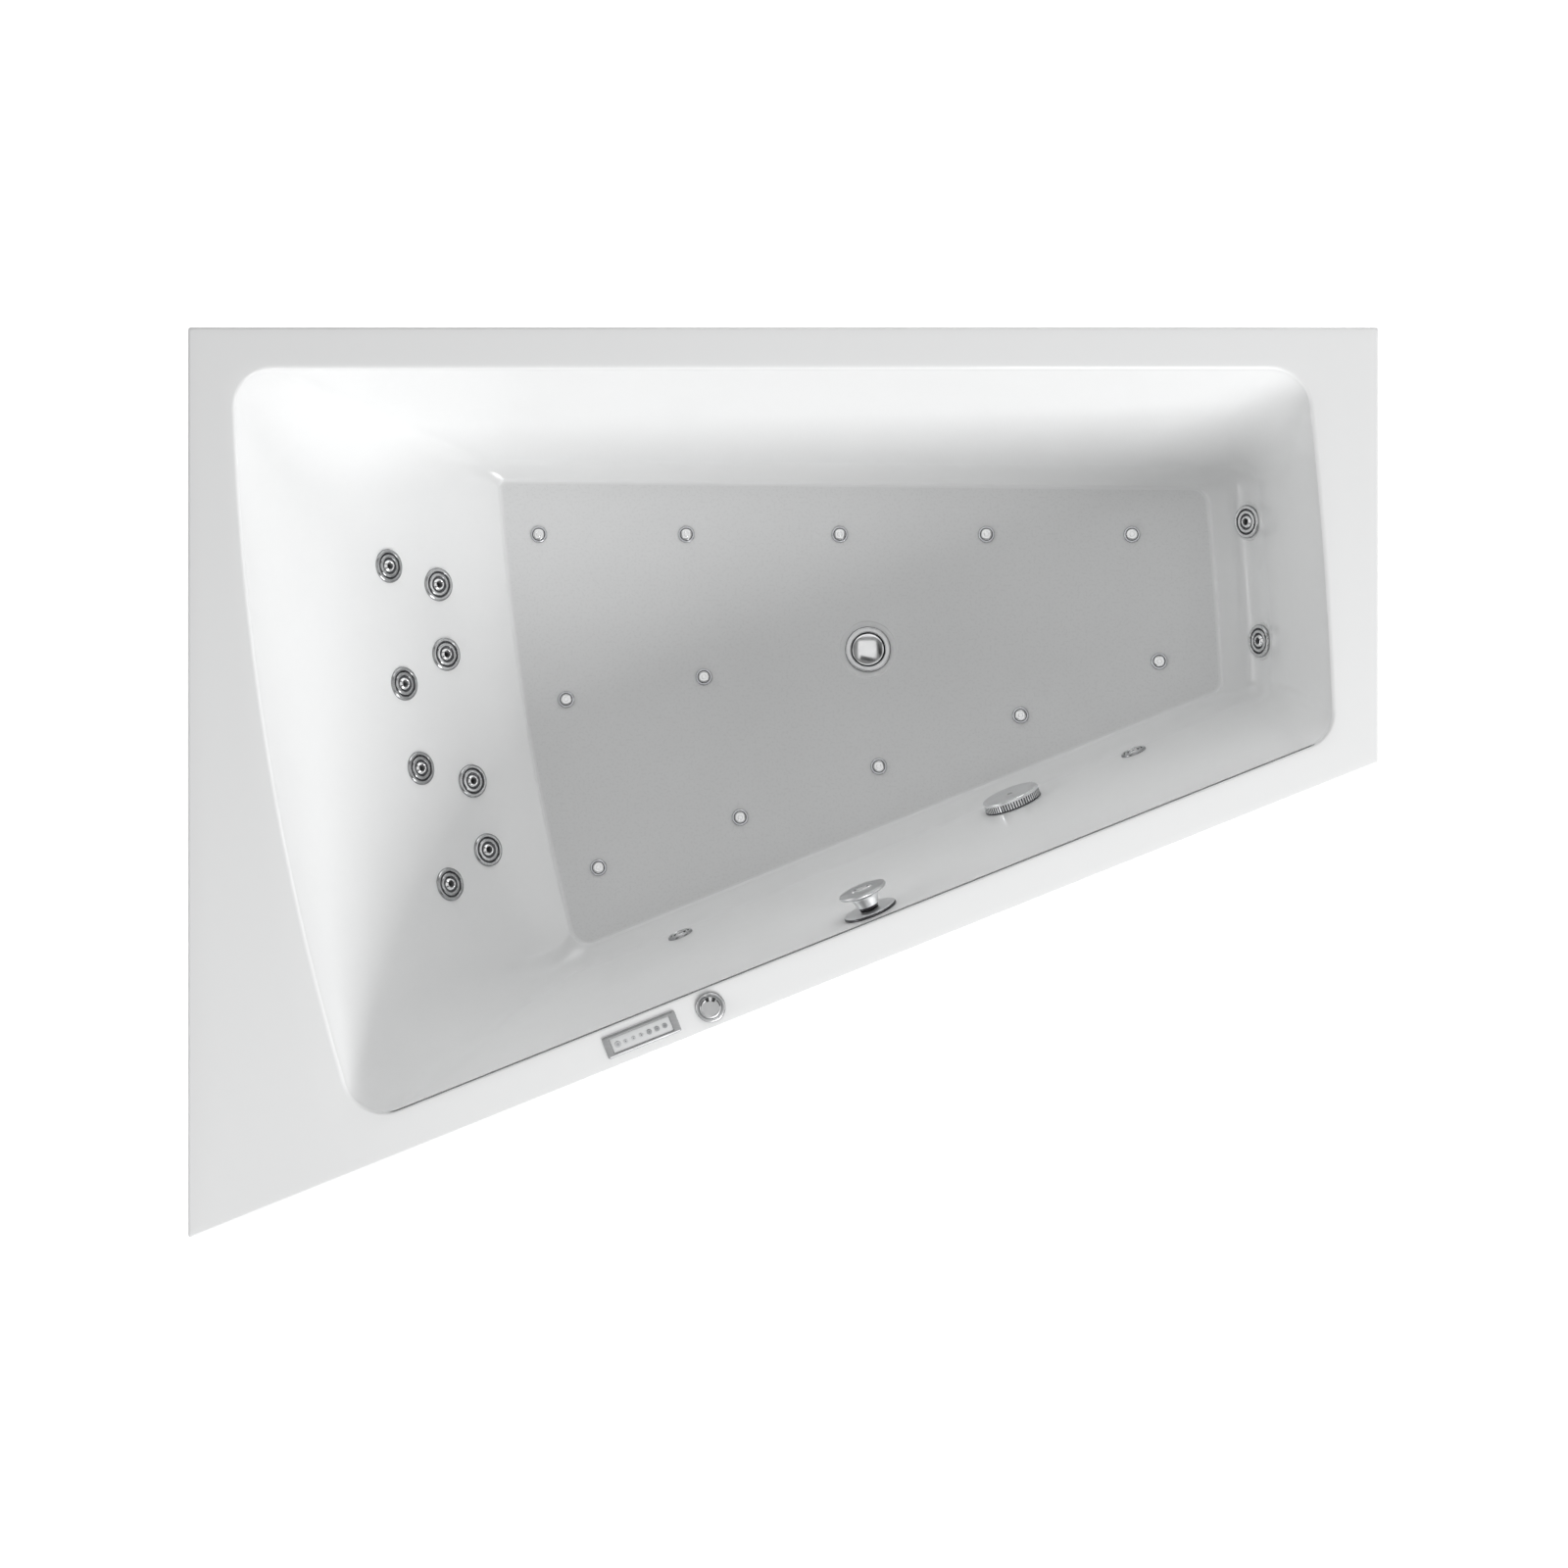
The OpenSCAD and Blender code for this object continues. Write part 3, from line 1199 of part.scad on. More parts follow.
module keypad_housing() {
  low = -key_box_h;
  cave = face_top - face_t;
  color("white") on_rim(keypad_place) difference() {
    union() {
      translate([-plate_l / 2 + fit_gap, -plate_w / 2 + fit_gap, -key_well])
          cube([plate_l - 2 * fit_gap, plate_w - 2 * fit_gap, face_top + key_well]);
      translate([-key_box_l / 2, -key_box_w / 2, low]) cube([key_box_l, key_box_w, -low]);
    }
    for (k = [0:6]) translate([key_first + k * key_pitch, 0, 0]) {
      cylinder(r = key_radii[k] + key_gap, h = overrun);
      translate([0, 0, -key_well]) cylinder(r = key_radii[k] + key_flange + 2 * key_gap,
          h = key_well + cave);
    }
    translate([-key_box_l / 2 + cup_floor, -key_box_w / 2 + cup_floor, low - overrun])
      cube([key_box_l - 2 * cup_floor, key_box_w - 2 * cup_floor, key_box_h - 2 * key_well + overrun]);
  }
}
module key(k) {
  r = key_radii[k];
  cave = face_top - face_t;
  color("gray") on_rim(keypad_place) translate([key_first + k * key_pitch, 0, 0]) rotate_extrude() polygon([
    [0, cave - key_flange_t - key_stem_l], [key_stem_r, cave - key_flange_t - key_stem_l],
    [key_stem_r, cave - key_flange_t], [r + key_flange, cave - key_flange_t],
        [r + key_flange, cave - hair / 2],
    [r, cave - hair / 2], [r, face_top + key_rise * 0.7], [r * 0.9, face_top + key_rise],
        [0, face_top + key_rise]
  ]);
}
module keypad_button_1() { key(0); }
module keypad_button_2() { key(1); }
module keypad_button_3() { key(2); }
module keypad_button_4() { key(3); }
module keypad_button_5() { key(4); }
module keypad_button_6() { key(5); }
module keypad_button_7() { key(6); }

// Equipment plates on the frame, under the backrest
plate_margin = 5;
plate_inset = 80;
pump_plate_share = -0.108;
box_plate_share = 0.146;
plate_x = [-bath_l / 2 + frame_gap + plate_margin, cross_places[0] + tube_w / 2];
module equipment_plates() {
  y = pump_plate_share * bath_w;
  color("dimgray") translate([0, 0, rail_top]) linear_extrude(plate_t) union() {
    polygon([
      [plate_x[0], on_front(plate_x[0], plate_inset)[1]],
          [plate_x[1], on_front(plate_x[1], plate_inset)[1]],
      [plate_x[1], y], [plate_x[0], y]
    ]);
    translate([plate_x[0], box_plate_share * bath_w])
      square([plate_x[1] - plate_x[0], bath_w * (1 / 2 - box_plate_share) - frame_gap - tube_w
          - plate_margin]);
  }
}

// Pump: finned motor on its feet, and the wet end with inlet and outlet
pump_place_share = [-0.4118, -0.2077];
pump_rise = 85;
motor_r = 60;
motor_fin = 5;
motor_fin_t = 3;
motor_fins = 20;
motor_l = 260;
motor_cap_l = 24;
motor_foot_w = 110;
motor_foot_l = 30;
motor_foot_t = 8;
motor_web_w = 60;
terminal_w = 60;
terminal_l = 80;
terminal_h = 32;
wet_r = 70;
wet_l = 65;
wet_flange = 5;
neck_r = 26;
neck_l = 45;
union_r = 33;
union_l = 20;
outlet_off = 38;
riser_r = 22;
riser_top = 318;
suction_pipe_r = 20;
nipple_r = 7;
nipple_l = 38;
nipple_drop = 28;
pump_at = [pump_place_share[0] * bath_l, pump_place_share[1] * bath_w, plate_top + pump_rise];
riser = [pump_at[0] - outlet_off, pump_at[1] + wet_l / 2];
inlet = pump_at + [0, wet_l + neck_l, 0];
module pump_motor() {
  color("dimgray") translate(pump_at) rotate([90, 0, 0]) {
    cylinder(r = motor_r, h = motor_l - motor_cap_l / 2);
    cylinder(r = motor_r + motor_fin, h = motor_cap_l);
    translate([0, 0, motor_l - 2 * motor_cap_l]) cylinder(r = motor_r + motor_fin, h = 2 * motor_cap_l);
    for (k = [0:motor_fins - 1]) rotate([0, 0, (k + 1 / 2) * 360 / motor_fins])
      translate([motor_r - motor_fin, -motor_fin_t / 2, motor_cap_l / 2])
      cube([2 * motor_fin - hair * 5, motor_fin_t, motor_l - 2 * motor_cap_l]);
    for (z = [2 * motor_cap_l, motor_l - 3 * motor_cap_l]) {
      translate([-motor_foot_w / 2, -pump_rise, z]) cube([motor_foot_w, motor_foot_t, motor_foot_l]);
      translate([-motor_web_w / 2, -pump_rise, z])
          cube([motor_web_w, pump_rise - motor_r / 2, motor_foot_l]);
    }
    translate([-terminal_w / 2, motor_r - motor_fin, motor_l / 2 - terminal_l / 2])
        cube([terminal_w, terminal_h, terminal_l]);
  }
}
module pump_wet_end() {
  color("dimgray") difference() {
    union() {
      translate(pump_at) rotate([-90, 0, 0]) {
        cylinder(r = wet_r + wet_flange, h = 2 * wet_flange);
        cylinder(r = wet_r, h = wet_l - wet_flange);
        cylinder(r = wet_r - wet_flange, h = wet_l);
        cylinder(r = neck_r, h = wet_l + neck_l);
        translate([0, 0, wet_l + neck_l - union_l - wet_flange])
            cylinder(r = union_r, h = union_l, $fn = 8);
      }
      translate(up3(riser, pump_at[2])) cylinder(r = riser_r, h = riser_top - pump_at[2]);
      translate(up3(riser, riser_top - union_l))
          cylinder(r = riser_r + 3 * elbow_rim, h = union_l, $fn = 8);
      translate(up3(riser, riser_top - nipple_drop)) rotate([90, 0, 0])
          cylinder(r = nipple_r, h = nipple_l);
    }
    translate(pump_at + [0, wet_l - wet_flange, 0]) rotate([-90, 0, 0])
        cylinder(r = suction_pipe_r - pipe_wall, h = neck_l + overrun);
    translate(up3(riser, riser_top - 2 * union_l))
        cylinder(r = riser_r - 2 * pipe_wall, h = overrun + 2 * union_l);
    translate(up3(riser, riser_top - nipple_drop)) rotate([90, 0, 0])
        cylinder(r = nipple_r - pipe_wall, h = nipple_l + overrun);
  }
}

// Suction pipe from the port, along the front and under the backrest to the pump
port_end = suction_seat[0] + suction_seat[1] * (flat_out - suction_out + suction_port_r + cup_floor)
  - suction_seat[2] * suction_port_l;
line_gap = 1;
suction_z = over_rail_z + overflow_port_r + suction_pipe_r + line_gap;
suction_turn = port_end - suction_seat[2] * (port_end[2] - suction_z) / suction_seat[2][2];
suction_inset = (flat(suction_turn) - outline[3]) * front_in;
head_line_x = cross_places[0];
inlet_run = 30;
suction_pts = [
  port_end, suction_turn, up3(on_front(head_line_x, suction_inset), suction_z),
  [head_line_x, inlet[1] + inlet_run, suction_z], inlet + [0, inlet_run, 0], inlet
];
module suction_pipe() {
  color("lightgray") difference() {
    pipe_skin(suction_pts, suction_pipe_r);
    pipe_bore(longer(suction_pts, overrun), suction_pipe_r, pipe_wall);
  }
}

// Supply pipe: a manifold under the backrest, and a line round the front to the foot
supply_z = 340;
manifold_r = 14;
supply_r = 11;
supply_inset = 78;
supply_end_share = 0.2654;
nipple_reach = 40;
drop_reach = 25;
drop_r = 8;
foot_line_inset = 50;
back_nipple_shares = [0.2538, 0.2308, 0.1485, 0.1115, 0.0192, -0.0154, -0.0462, -0.0654];
side_stubs = [for (k = [10, 11]) stub_end(jets[k])];
foot_stubs = [for (k = [8, 9]) stub_end(jets[k])];
foot_line_x = bath_l / 2 - foot_line_inset;
nipple_dir = unit([1, 0, -1]);
back_nipples = [for (s = back_nipple_shares) [riser[0], s * bath_w, supply_z]];
drops = concat(
  [for (p = foot_stubs) [foot_line_x, p[1], supply_z]],
  [for (p = side_stubs) along_front((flat(p) - outline[3]) * front_dir, supply_inset, supply_z)]
);
manifold_pts = [up3(riser, riser_top), up3(riser, supply_z),
    [riser[0], supply_end_share * bath_w, supply_z]];
line_pts = [
  up3(riser + [0, manifold_r / 2], supply_z), up3(on_front(riser[0], supply_inset), supply_z),
  up3(on_front(foot_line_x, supply_inset), supply_z), [foot_line_x, foot_stubs[0][1] + manifold_r, supply_z]
];
function capped(p) = let (n = len(p) - 1) concat([for (k = [0:n - 1]) p[k]],
    [p[n] - unit(p[n] - p[n - 1]) * pipe_wall]);
module supply_pipe() {
  color("lightgray") difference() {
    union() {
      pipe_skin(manifold_pts, manifold_r);
      pipe_skin(line_pts, supply_r);
      for (p = back_nipples) run(p, p + nipple_dir * nipple_reach, hose_r);
      for (p = drops) run(p, p - up3([0, 0], drop_reach), drop_r);
    }
    pipe_bore(longer_at_start(capped(manifold_pts), overrun), manifold_r, pipe_wall);
    pipe_bore(capped(line_pts), supply_r, pipe_wall);
    for (p = back_nipples) run(p, p + nipple_dir * (nipple_reach + overrun), hose_bore_r);
    for (p = drops) run(p, p - up3([0, 0], drop_reach + overrun), drop_r - pipe_wall);
  }
}

// Hoses from the supply pipe to each jet, and the air hose from the rim to the pump
hose_steps = 7;
air_hose_r = 7;
nipple_bend = 40;
stub_bend = 70;
near_bend = 30;
side_bend = 35;
function bezier(a, b, c, d, n) = [
  for (k = [0:n])
    let (t = k / n, s = 1 - t) a * pow(s, 3) + b * (3 * s * s * t) + c * (3 * s * t * t) + d * pow(t, 3)
];
air_start = along_front(air_place, rim_line, bath_h - air_tube_l - air_stub_l);
air_end = up3(riser - [0, nipple_l], riser_top - nipple_drop);
// Route of the air hose: distance along the front, inset and height of each point
air_route = [[800, 30, 455], [720, 34, 440], [420, 36, 436], [190, 36, 425]];
// and on from there, measured from the pump's air nipple
air_tail = [[-34, -270, 80], [-36, -205, 20], [-32, -125, 0], [-12, -60, 0], [0, -25, 0], [0, 0, 0]];
air_out = 30;
module hoses() {
  color("gray") {
    for (k = [0:7]) {
      e = stub_end(jets[k]);
      a = back_nipples[k] + nipple_dir * nipple_reach;
      b = k == 7 ? near_bend : stub_bend;
      tube(bezier(a, a + nipple_dir * nipple_bend, e - jets[k][0][1] * b, e, hose_steps), hose_r,
          [0, 1, 0], [nipple_dir, jets[k][0][1]]);
    }
    for (k = [8:11]) {
      e = stub_end(jets[k]);
      a = drops[k - 8] - up3([0, 0], drop_reach);
      u = jets[k][0][2];
      tube(bezier(a, a - up3([0, 0], side_bend), e + u * side_bend, e, hose_steps), drop_r, [1, 0, 0],
          [[0, 0, -1], -u]);
    }
    tube(cut_corners(concat(
      [air_start, air_start - up3([0, 0], air_out)],
      [for (p = air_route) along_front(p[0], p[1], p[2])],
      [for (p = air_tail) air_end + p]
    ), 1), air_hose_r, [1, 0, 1], [[0, 0, -1], [0, 1, 0]]);
  }
}

// Blower for the air injectors
blower_foot = 4;
module blower() {
  low = plate_top;
  color("dimgray") translate([blower_x, blower_y, low]) {
    rotate_extrude() polygon([
      [0, 0], [blower_r, 0], [blower_r, blower_h * 0.45], [blower_r * 0.96, blower_h * 0.48],
          [blower_r * 0.96, blower_h * 0.56],
      [blower_r, blower_h * 0.59], [blower_r, blower_h * 0.8], [blower_r * 0.9, blower_h * 0.93],
          [blower_r * 0.6, blower_h],
      [0, blower_h]
    ]);
    difference() {
      translate([0, 0, blower_port_z]) rotate([0, 90, 0])
          cylinder(r = blower_port_r, h = blower_r + blower_port_r);
      translate([blower_r, 0, blower_port_z]) rotate([0, 90, 0])
          cylinder(r = loop_r - loop_wall, h = overrun);
    }
  }
}

// Control box with its glands
box_w = 95;
box_l = 185;
box_h = 98;
box_lid = 16;
box_step = 3;
box_inset = 55;
gland_r = 9;
gland_l = 18;
box_corner = [-bath_l / 2 + box_inset, box_plate_share * bath_w + plate_margin * 2, plate_top];
module control_box() {
  color("lightgray") difference() {
    union() {
      translate(box_corner) cube([box_w, box_l, box_h - box_lid]);
      translate(box_corner + [-box_step, -box_step, box_h - box_lid])
          cube([box_w + 2 * box_step, box_l + 2 * box_step, box_lid]);
      for (y = [box_l / 4, box_l * 3 / 4]) translate(box_corner + [box_w, y, box_h / 3]) rotate([0, 90, 0])
        cylinder(r = gland_r, h = gland_l);
    }
    for (y = [box_l / 4, box_l * 3 / 4]) translate(box_corner + [box_w, y, box_h / 3]) rotate([0, 90, 0])
      cylinder(r = gland_r / 2, h = gland_l + overrun);
  }
}

tub_shell();
base_board();
frame_back_rail();
frame_foot_rail();
frame_front_rail();
frame_head_rail();
cross_rails();
uprights();
foot_pads();
foot_rods();
foot_nuts();
jet_housings();
jet_gaskets();
jet_trims();
back_nozzle_1();
back_nozzle_2();
back_nozzle_3();
back_nozzle_4();
back_nozzle_5();
back_nozzle_6();
back_nozzle_7();
back_nozzle_8();
foot_nozzle_1();
foot_nozzle_2();
side_nozzle_1();
side_nozzle_2();
air_injector_caps();
air_injector_bodies();
lock_nuts();
suction_body();
suction_cover();
suction_screw();
waste_flange();
waste_body();
waste_plug();
waste_trap();
overflow_body();
overflow_control();
overflow_pipe();
bowden_cable();
air_control_knob();
air_control_body();
keypad_frame();
keypad_housing();
keypad_button_1();
keypad_button_2();
keypad_button_3();
keypad_button_4();
keypad_button_5();
keypad_button_6();
keypad_button_7();
pump_motor();
pump_wet_end();
equipment_plates();
suction_pipe();
supply_pipe();
hoses();
blower();
air_pipe();
control_box();
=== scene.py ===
# %% [markdown]
# # A jetted bathtub seen from straight above
# The CAD part gives every piece its place and size. This notebook dresses it: a smooth acrylic
# shell worked out from the same wall sections, plated fittings turned on a lathe, a keypad, and
# plain working finishes for the frame, the pump and the pipework that hide under the rim. It
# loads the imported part, whose pieces the finished ones replace.

# %% Load the part
import json
import math

import bmesh
import bpy
import numpy as np
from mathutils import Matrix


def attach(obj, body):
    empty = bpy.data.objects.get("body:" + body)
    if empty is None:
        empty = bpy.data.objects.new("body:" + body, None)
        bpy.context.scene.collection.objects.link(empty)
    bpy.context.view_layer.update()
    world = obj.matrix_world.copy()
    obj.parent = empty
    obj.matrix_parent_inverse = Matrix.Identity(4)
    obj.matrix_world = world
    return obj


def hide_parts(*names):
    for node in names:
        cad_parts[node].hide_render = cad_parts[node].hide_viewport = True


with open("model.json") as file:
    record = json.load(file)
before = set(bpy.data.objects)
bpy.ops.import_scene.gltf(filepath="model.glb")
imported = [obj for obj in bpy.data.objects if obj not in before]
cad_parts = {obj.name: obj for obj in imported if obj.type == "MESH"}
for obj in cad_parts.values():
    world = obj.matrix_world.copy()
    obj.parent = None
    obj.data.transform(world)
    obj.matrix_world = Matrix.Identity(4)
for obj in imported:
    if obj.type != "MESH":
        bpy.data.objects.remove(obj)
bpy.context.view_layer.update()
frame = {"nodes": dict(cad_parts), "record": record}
nodes = frame["nodes"]

# %% [markdown]
# ## Camera
# The picture looks straight down on the bath. The rim is 600 mm above the ground and one picture
# point on it is 1.4 mm wide, and the walls shrink towards the floor as they do from 4.5 m above
# the rim. So the camera hangs at 5.1 m, and its lens spreads 1600 points over 2.24 m of the rim.

# %% Camera
eye_height, rim_height = 5.1, 0.6
picture_points, point_width = 1600, 0.0013985
sensor_width = 36
camera = bpy.data.cameras.new("camera")
camera.sensor_width = sensor_width
camera.lens = sensor_width * (eye_height - rim_height) / (picture_points * point_width)
camera.clip_end = 60
camera_object = bpy.data.objects.new("camera", camera)
camera_object.location = (0.001, -0.002, eye_height)
bpy.context.scene.collection.objects.link(camera_object)
bpy.context.scene.camera = camera_object
print("lens", round(camera.lens, 2))

# %% [markdown]
# ## Stage
# A white floor, lit as the bath is. Its colour is added to for the camera, for mirrors and for
# glass alone, so the background comes out white while the floor still takes the bath's shadow.

# %% Floor and world
scene = bpy.context.scene
scene.view_settings.view_transform = "Standard"
stage_half, stage_grey, stage_glow = 9, 0.8, 0.72
sky_light, sky_seen = 0.21, 1.0


def new_material(name):
    """An empty material, its node tree and its output node."""
    material = bpy.data.materials.new(name)
    material.use_nodes = True
    tree = material.node_tree
    tree.nodes.clear()
    return material, tree, tree.nodes.new("ShaderNodeOutputMaterial")


def plane(name, x, y):
    """A level rectangle round the origin, from its half length and its half width."""
    mesh = bpy.data.meshes.new(name)
    mesh.from_pydata([(-x, -y, 0), (x, -y, 0), (x, y, 0), (-x, y, 0)], [], [(0, 1, 2, 3)])
    item = bpy.data.objects.new(name, mesh)
    scene.collection.objects.link(item)
    return item


floor = plane("floor", stage_half, stage_half)
material, tree, output = new_material("studio_floor")
add = tree.nodes.new
diffuse, lift, both = [add("ShaderNode" + kind) for kind in ("BsdfDiffuse", "Emission", "AddShader")]
diffuse.inputs["Color"].default_value = (stage_grey, stage_grey, stage_grey, 1)
path = add("ShaderNodeLightPath")
seen, seen_glass, power = [add("ShaderNodeMath") for _ in range(3)]
seen.operation = seen_glass.operation = "MAXIMUM"
power.operation = "MULTIPLY"
power.inputs[1].default_value = stage_glow
for source, socket in [
    (path.outputs["Is Camera Ray"], seen.inputs[0]),
    (path.outputs["Is Glossy Ray"], seen.inputs[1]),
    (seen.outputs[0], seen_glass.inputs[0]),
    (path.outputs["Is Transmission Ray"], seen_glass.inputs[1]),
    (seen_glass.outputs[0], power.inputs[0]),
    (power.outputs[0], lift.inputs["Strength"]),
    (diffuse.outputs[0], both.inputs[0]),
    (lift.outputs[0], both.inputs[1]),
    (both.outputs[0], output.inputs["Surface"]),
]:
    tree.links.new(source, socket)
floor.data.materials.append(material)

world = bpy.data.worlds.new("studio")
scene.world = world
world.use_nodes = True
sky_tree = world.node_tree
sky = sky_tree.nodes["Background"]
sky.inputs["Color"].default_value = (1, 1, 1, 1)
sky_path = sky_tree.nodes.new("ShaderNodeLightPath")
sky_power = sky_tree.nodes.new("ShaderNodeMapRange")
sky_power.inputs["To Min"].default_value = sky_light
sky_power.inputs["To Max"].default_value = sky_seen
sky_tree.links.new(sky_path.outputs["Is Camera Ray"], sky_power.inputs["Value"])
sky_tree.links.new(sky_power.outputs[0], sky.inputs["Strength"])
print("floor and world made")

# %% [markdown]
# ## Lamps
# The walls tell where the light stands. The back wall and the backrest are bright, the front wall
# and the foot wall lie in soft shade, and the floor darkens towards the front. So one broad key
# lamp stands beyond the front edge, and three weaker ones lift the walls that face away from it.


# %% Lamps
def soft_lamp(name, place, aim, size, watts):
    """A square area lamp at a place, turned to face a point."""
    lamp = bpy.data.lights.new(name, "AREA")
    lamp.shape = "SQUARE"
    lamp.size = size
    lamp.energy = watts
    holder = bpy.data.objects.new(name, lamp)
    away = np.array(place, float) - np.array(aim, float)
    holder.location = place
    flat = math.hypot(away[0], away[1])
    holder.rotation_euler = (math.atan2(flat, away[2]), 0, math.atan2(away[0], -away[1]))
    scene.collection.objects.link(holder)


soft_lamp("key_lamp", (1.7, -3.5, 2.7), (0.0, 0.2, 0.5), 2.2, 172)
soft_lamp("foot_lamp", (5.6, 0.3, 2.5), (-0.3, 0.1, 0.4), 3.2, 66)
soft_lamp("back_lamp", (0.8, 3.8, 2.4), (0.0, 0.0, 0.4), 2.4, 48)
soft_lamp("head_lamp", (-5.8, -1.0, 2.1), (0.6, 0.1, 0.4), 3.2, 84)
print("lamps made")

# %% [markdown]
# Plating shows nothing but what stands round it. A pale sheet hangs over the bath and a pale
# screen stands beyond its front edge, for mirror rays alone, so plated faces come out light. Two
# dark strips give the rounded edges the thin dark lines of the picture. None of the four lights
# or shades anything.


# %% Sheets for mirror rays
def mirror_sheet(name, place, size, turn, strength, tip=0):
    """A rectangle with a glow of its own, seen by glossy rays only. It lies level and is turned
    by one angle, or tipped up about the X axis by another."""
    sheet = plane(name, size[0] / 2, size[1] / 2)
    sheet.location = place
    sheet.rotation_euler = (math.radians(tip), 0, math.radians(turn))
    material, tree, output = new_material(name)
    glow = tree.nodes.new("ShaderNodeEmission")
    glow.inputs["Strength"].default_value = strength
    tree.links.new(glow.outputs[0], output.inputs["Surface"])
    sheet.data.materials.append(material)
    for ray in ("camera", "diffuse", "transmission", "volume_scatter", "shadow"):
        setattr(sheet, "visible_" + ray, False)


mirror_sheet("pale_sheet", (0.0, 0.4, 5.6), (5.6, 5.6), 0, 0.82)
mirror_sheet("pale_screen", (0.0, -4.6, 3.4), (9.0, 4.4), 0, 0.7, tip=90)
mirror_sheet("dark_strip", (0.3, -1.7, 4.2), (3.6, 0.85), -12, 0.03)
mirror_sheet("dark_side_strip", (2.8, 0.6, 4.0), (0.9, 4.0), 10, 0.03)
print("sheets made")

# %% [markdown]
# ## The shape of the shell
# The real shell is one sheet of acrylic, drawn over a mould and backed with resin. The picture
# shows four different walls: a long sloping backrest, a steeper foot wall, both bowed outwards,
# and two straight long walls that run in a little more at one end. It could be sculpted, but
# then the fittings would not sit on it. So it is worked out as in the CAD part: a stack of rings,
# each made of four bowed sides and four rounded corners, only with many more points.

# %% Outline, opening and wall sections, in millimetres
bath_l, bath_w, foot_end_w, bath_h = 1700.0, 1300.0, 622.0, 600.0
floor_z, shell_t, skirt_h, lip_r, floor_step, edge_r = 150.0, 8.0, 40.0, 6.0, 5.0, 4.0
long_rim, head_rim, foot_rim = 60, 66, 104
front_foot_x, front_head_x = 65, 243


def unit(v):
    """A vector, or each vector of an array, at length 1."""
    return v / np.linalg.norm(v, axis=-1, keepdims=True)


outline = np.array([
    [-bath_l / 2, bath_w / 2],
    [bath_l / 2, bath_w / 2],
    [bath_l / 2, bath_w / 2 - foot_end_w],
    [-bath_l / 2, -bath_w / 2],
])
front_dir = unit(outline[2] - outline[3])
front_in = np.array([-front_dir[1], front_dir[0]])


def on_front(x, inset):
    """The point at x on the line that runs along the front edge, moved in by inset."""
    p = outline[3] + front_in * inset
    return p + front_dir * ((x - p[0]) / front_dir[0])


corner_drop = edge_r * ((1 + front_dir[1]) / front_dir[0] - 1)
edge_line = outline - np.array([[0, 0], [0, 0], [0, 0], [0, corner_drop]])
opening = np.array([
    [-bath_l / 2 + head_rim, bath_w / 2 - long_rim],
    [bath_l / 2 - foot_rim, bath_w / 2 - long_rim],
    on_front(bath_l / 2 - front_foot_x, long_rim),
    on_front(-bath_l / 2 + front_head_x, long_rim),
])
wall_depth = bath_h - lip_r - floor_z - floor_step
# Each row holds a value for each side (back, foot, front, head), the runs one for each end of a
# side, and the last three rows a value for each corner.
runs = np.array([[110.0, 125.0], [88.0, 88.0], [107.0, 101.0], [312.0, 312.0]])
coves = np.array([22.0, 65.0, 24.0, 250.0])
cove_angles = np.radians([60.0, 85.0, 60.0, 55.0])
bows = [None, 6000.0, None, 3800.0]
rim_corners = np.array([48.0, 55.0, 48.0, 50.0])
mid_corners = np.array([150.0, 120.0, 70.0, 110.0])
floor_corners = np.array([12.0, 28.0, 22.0, 28.0])
print("opening", opening.round(1).tolist())

# %% [markdown]
# A wall drops at a steady slope and then sweeps into its foot along a quadratic curve. For each
# depth the next function gives the share of the whole run that the wall has made by then, and the
# corners follow as the places where the four moved side lines cross.


# %% Walls at any depth
def run_share(side, depth):
    """Share of a wall's run at each depth: straight as far as the cove, then the root of
    (1-t)^2 p + 2t(1-t) c + t^2 e = depth, put back into the same curve for the run."""
    mean = runs[side].mean()
    bend = np.array([mean - coves[side], wall_depth - coves[side] / math.tan(cove_angles[side])])
    length = np.linalg.norm(bend)
    start = bend * (1 - min(coves[side] / math.sin(cove_angles[side]), length) / length)
    a = start[1] - 2 * bend[1] + wall_depth
    b = 2 * (bend[1] - start[1])
    t = (-b + np.sqrt(np.maximum(b * b - 4 * a * (start[1] - depth), 0))) / (2 * a)
    curve = (1 - t) ** 2 * start[0] + 2 * t * (1 - t) * bend[0] + t * t * mean
    return np.where(depth <= start[1], depth * bend[0] / bend[1], curve) / mean


def crossing(p, d, q, e):
    """Where the lines p + s d and q + t e cross, for arrays of lines."""
    cross = lambda a, b: a[..., 0] * b[..., 1] - a[..., 1] * b[..., 0]
    return p + d * (cross(q - p, e) / cross(d, e))[..., None]


def corners_at(depth):
    """The four corners of the opening at each depth, as an array of depths x 4 x 2."""
    depth = np.atleast_1d(np.asarray(depth, float))
    starts, ends = [], []
    for side in range(4):
        a, b = opening[side], opening[(side + 1) % 4]
        d = unit(b - a)
        inward = np.array([d[1], -d[0]])
        if inward @ (opening.mean(0) - a) < 0:
            inward = -inward
        share = run_share(side, depth)[:, None]
        starts.append(a + inward * runs[side][0] * share)
        ends.append(b + inward * runs[side][1] * share)
    found = [
        crossing(starts[i - 1], ends[i - 1] - starts[i - 1], starts[i], ends[i] - starts[i])
        for i in range(4)
    ]
    return np.stack(found, 1)


def corner_radii(depth):
    """Corner radii at each depth: a quadratic blend of rim, middle and floor radii."""
    s = (np.atleast_1d(depth) / wall_depth)[:, None]
    return rim_corners * (1 - s) ** 2 + mid_corners * 2 * s * (1 - s) + floor_corners * s * s


print("floor corners", corners_at(wall_depth)[0].round(1).tolist())

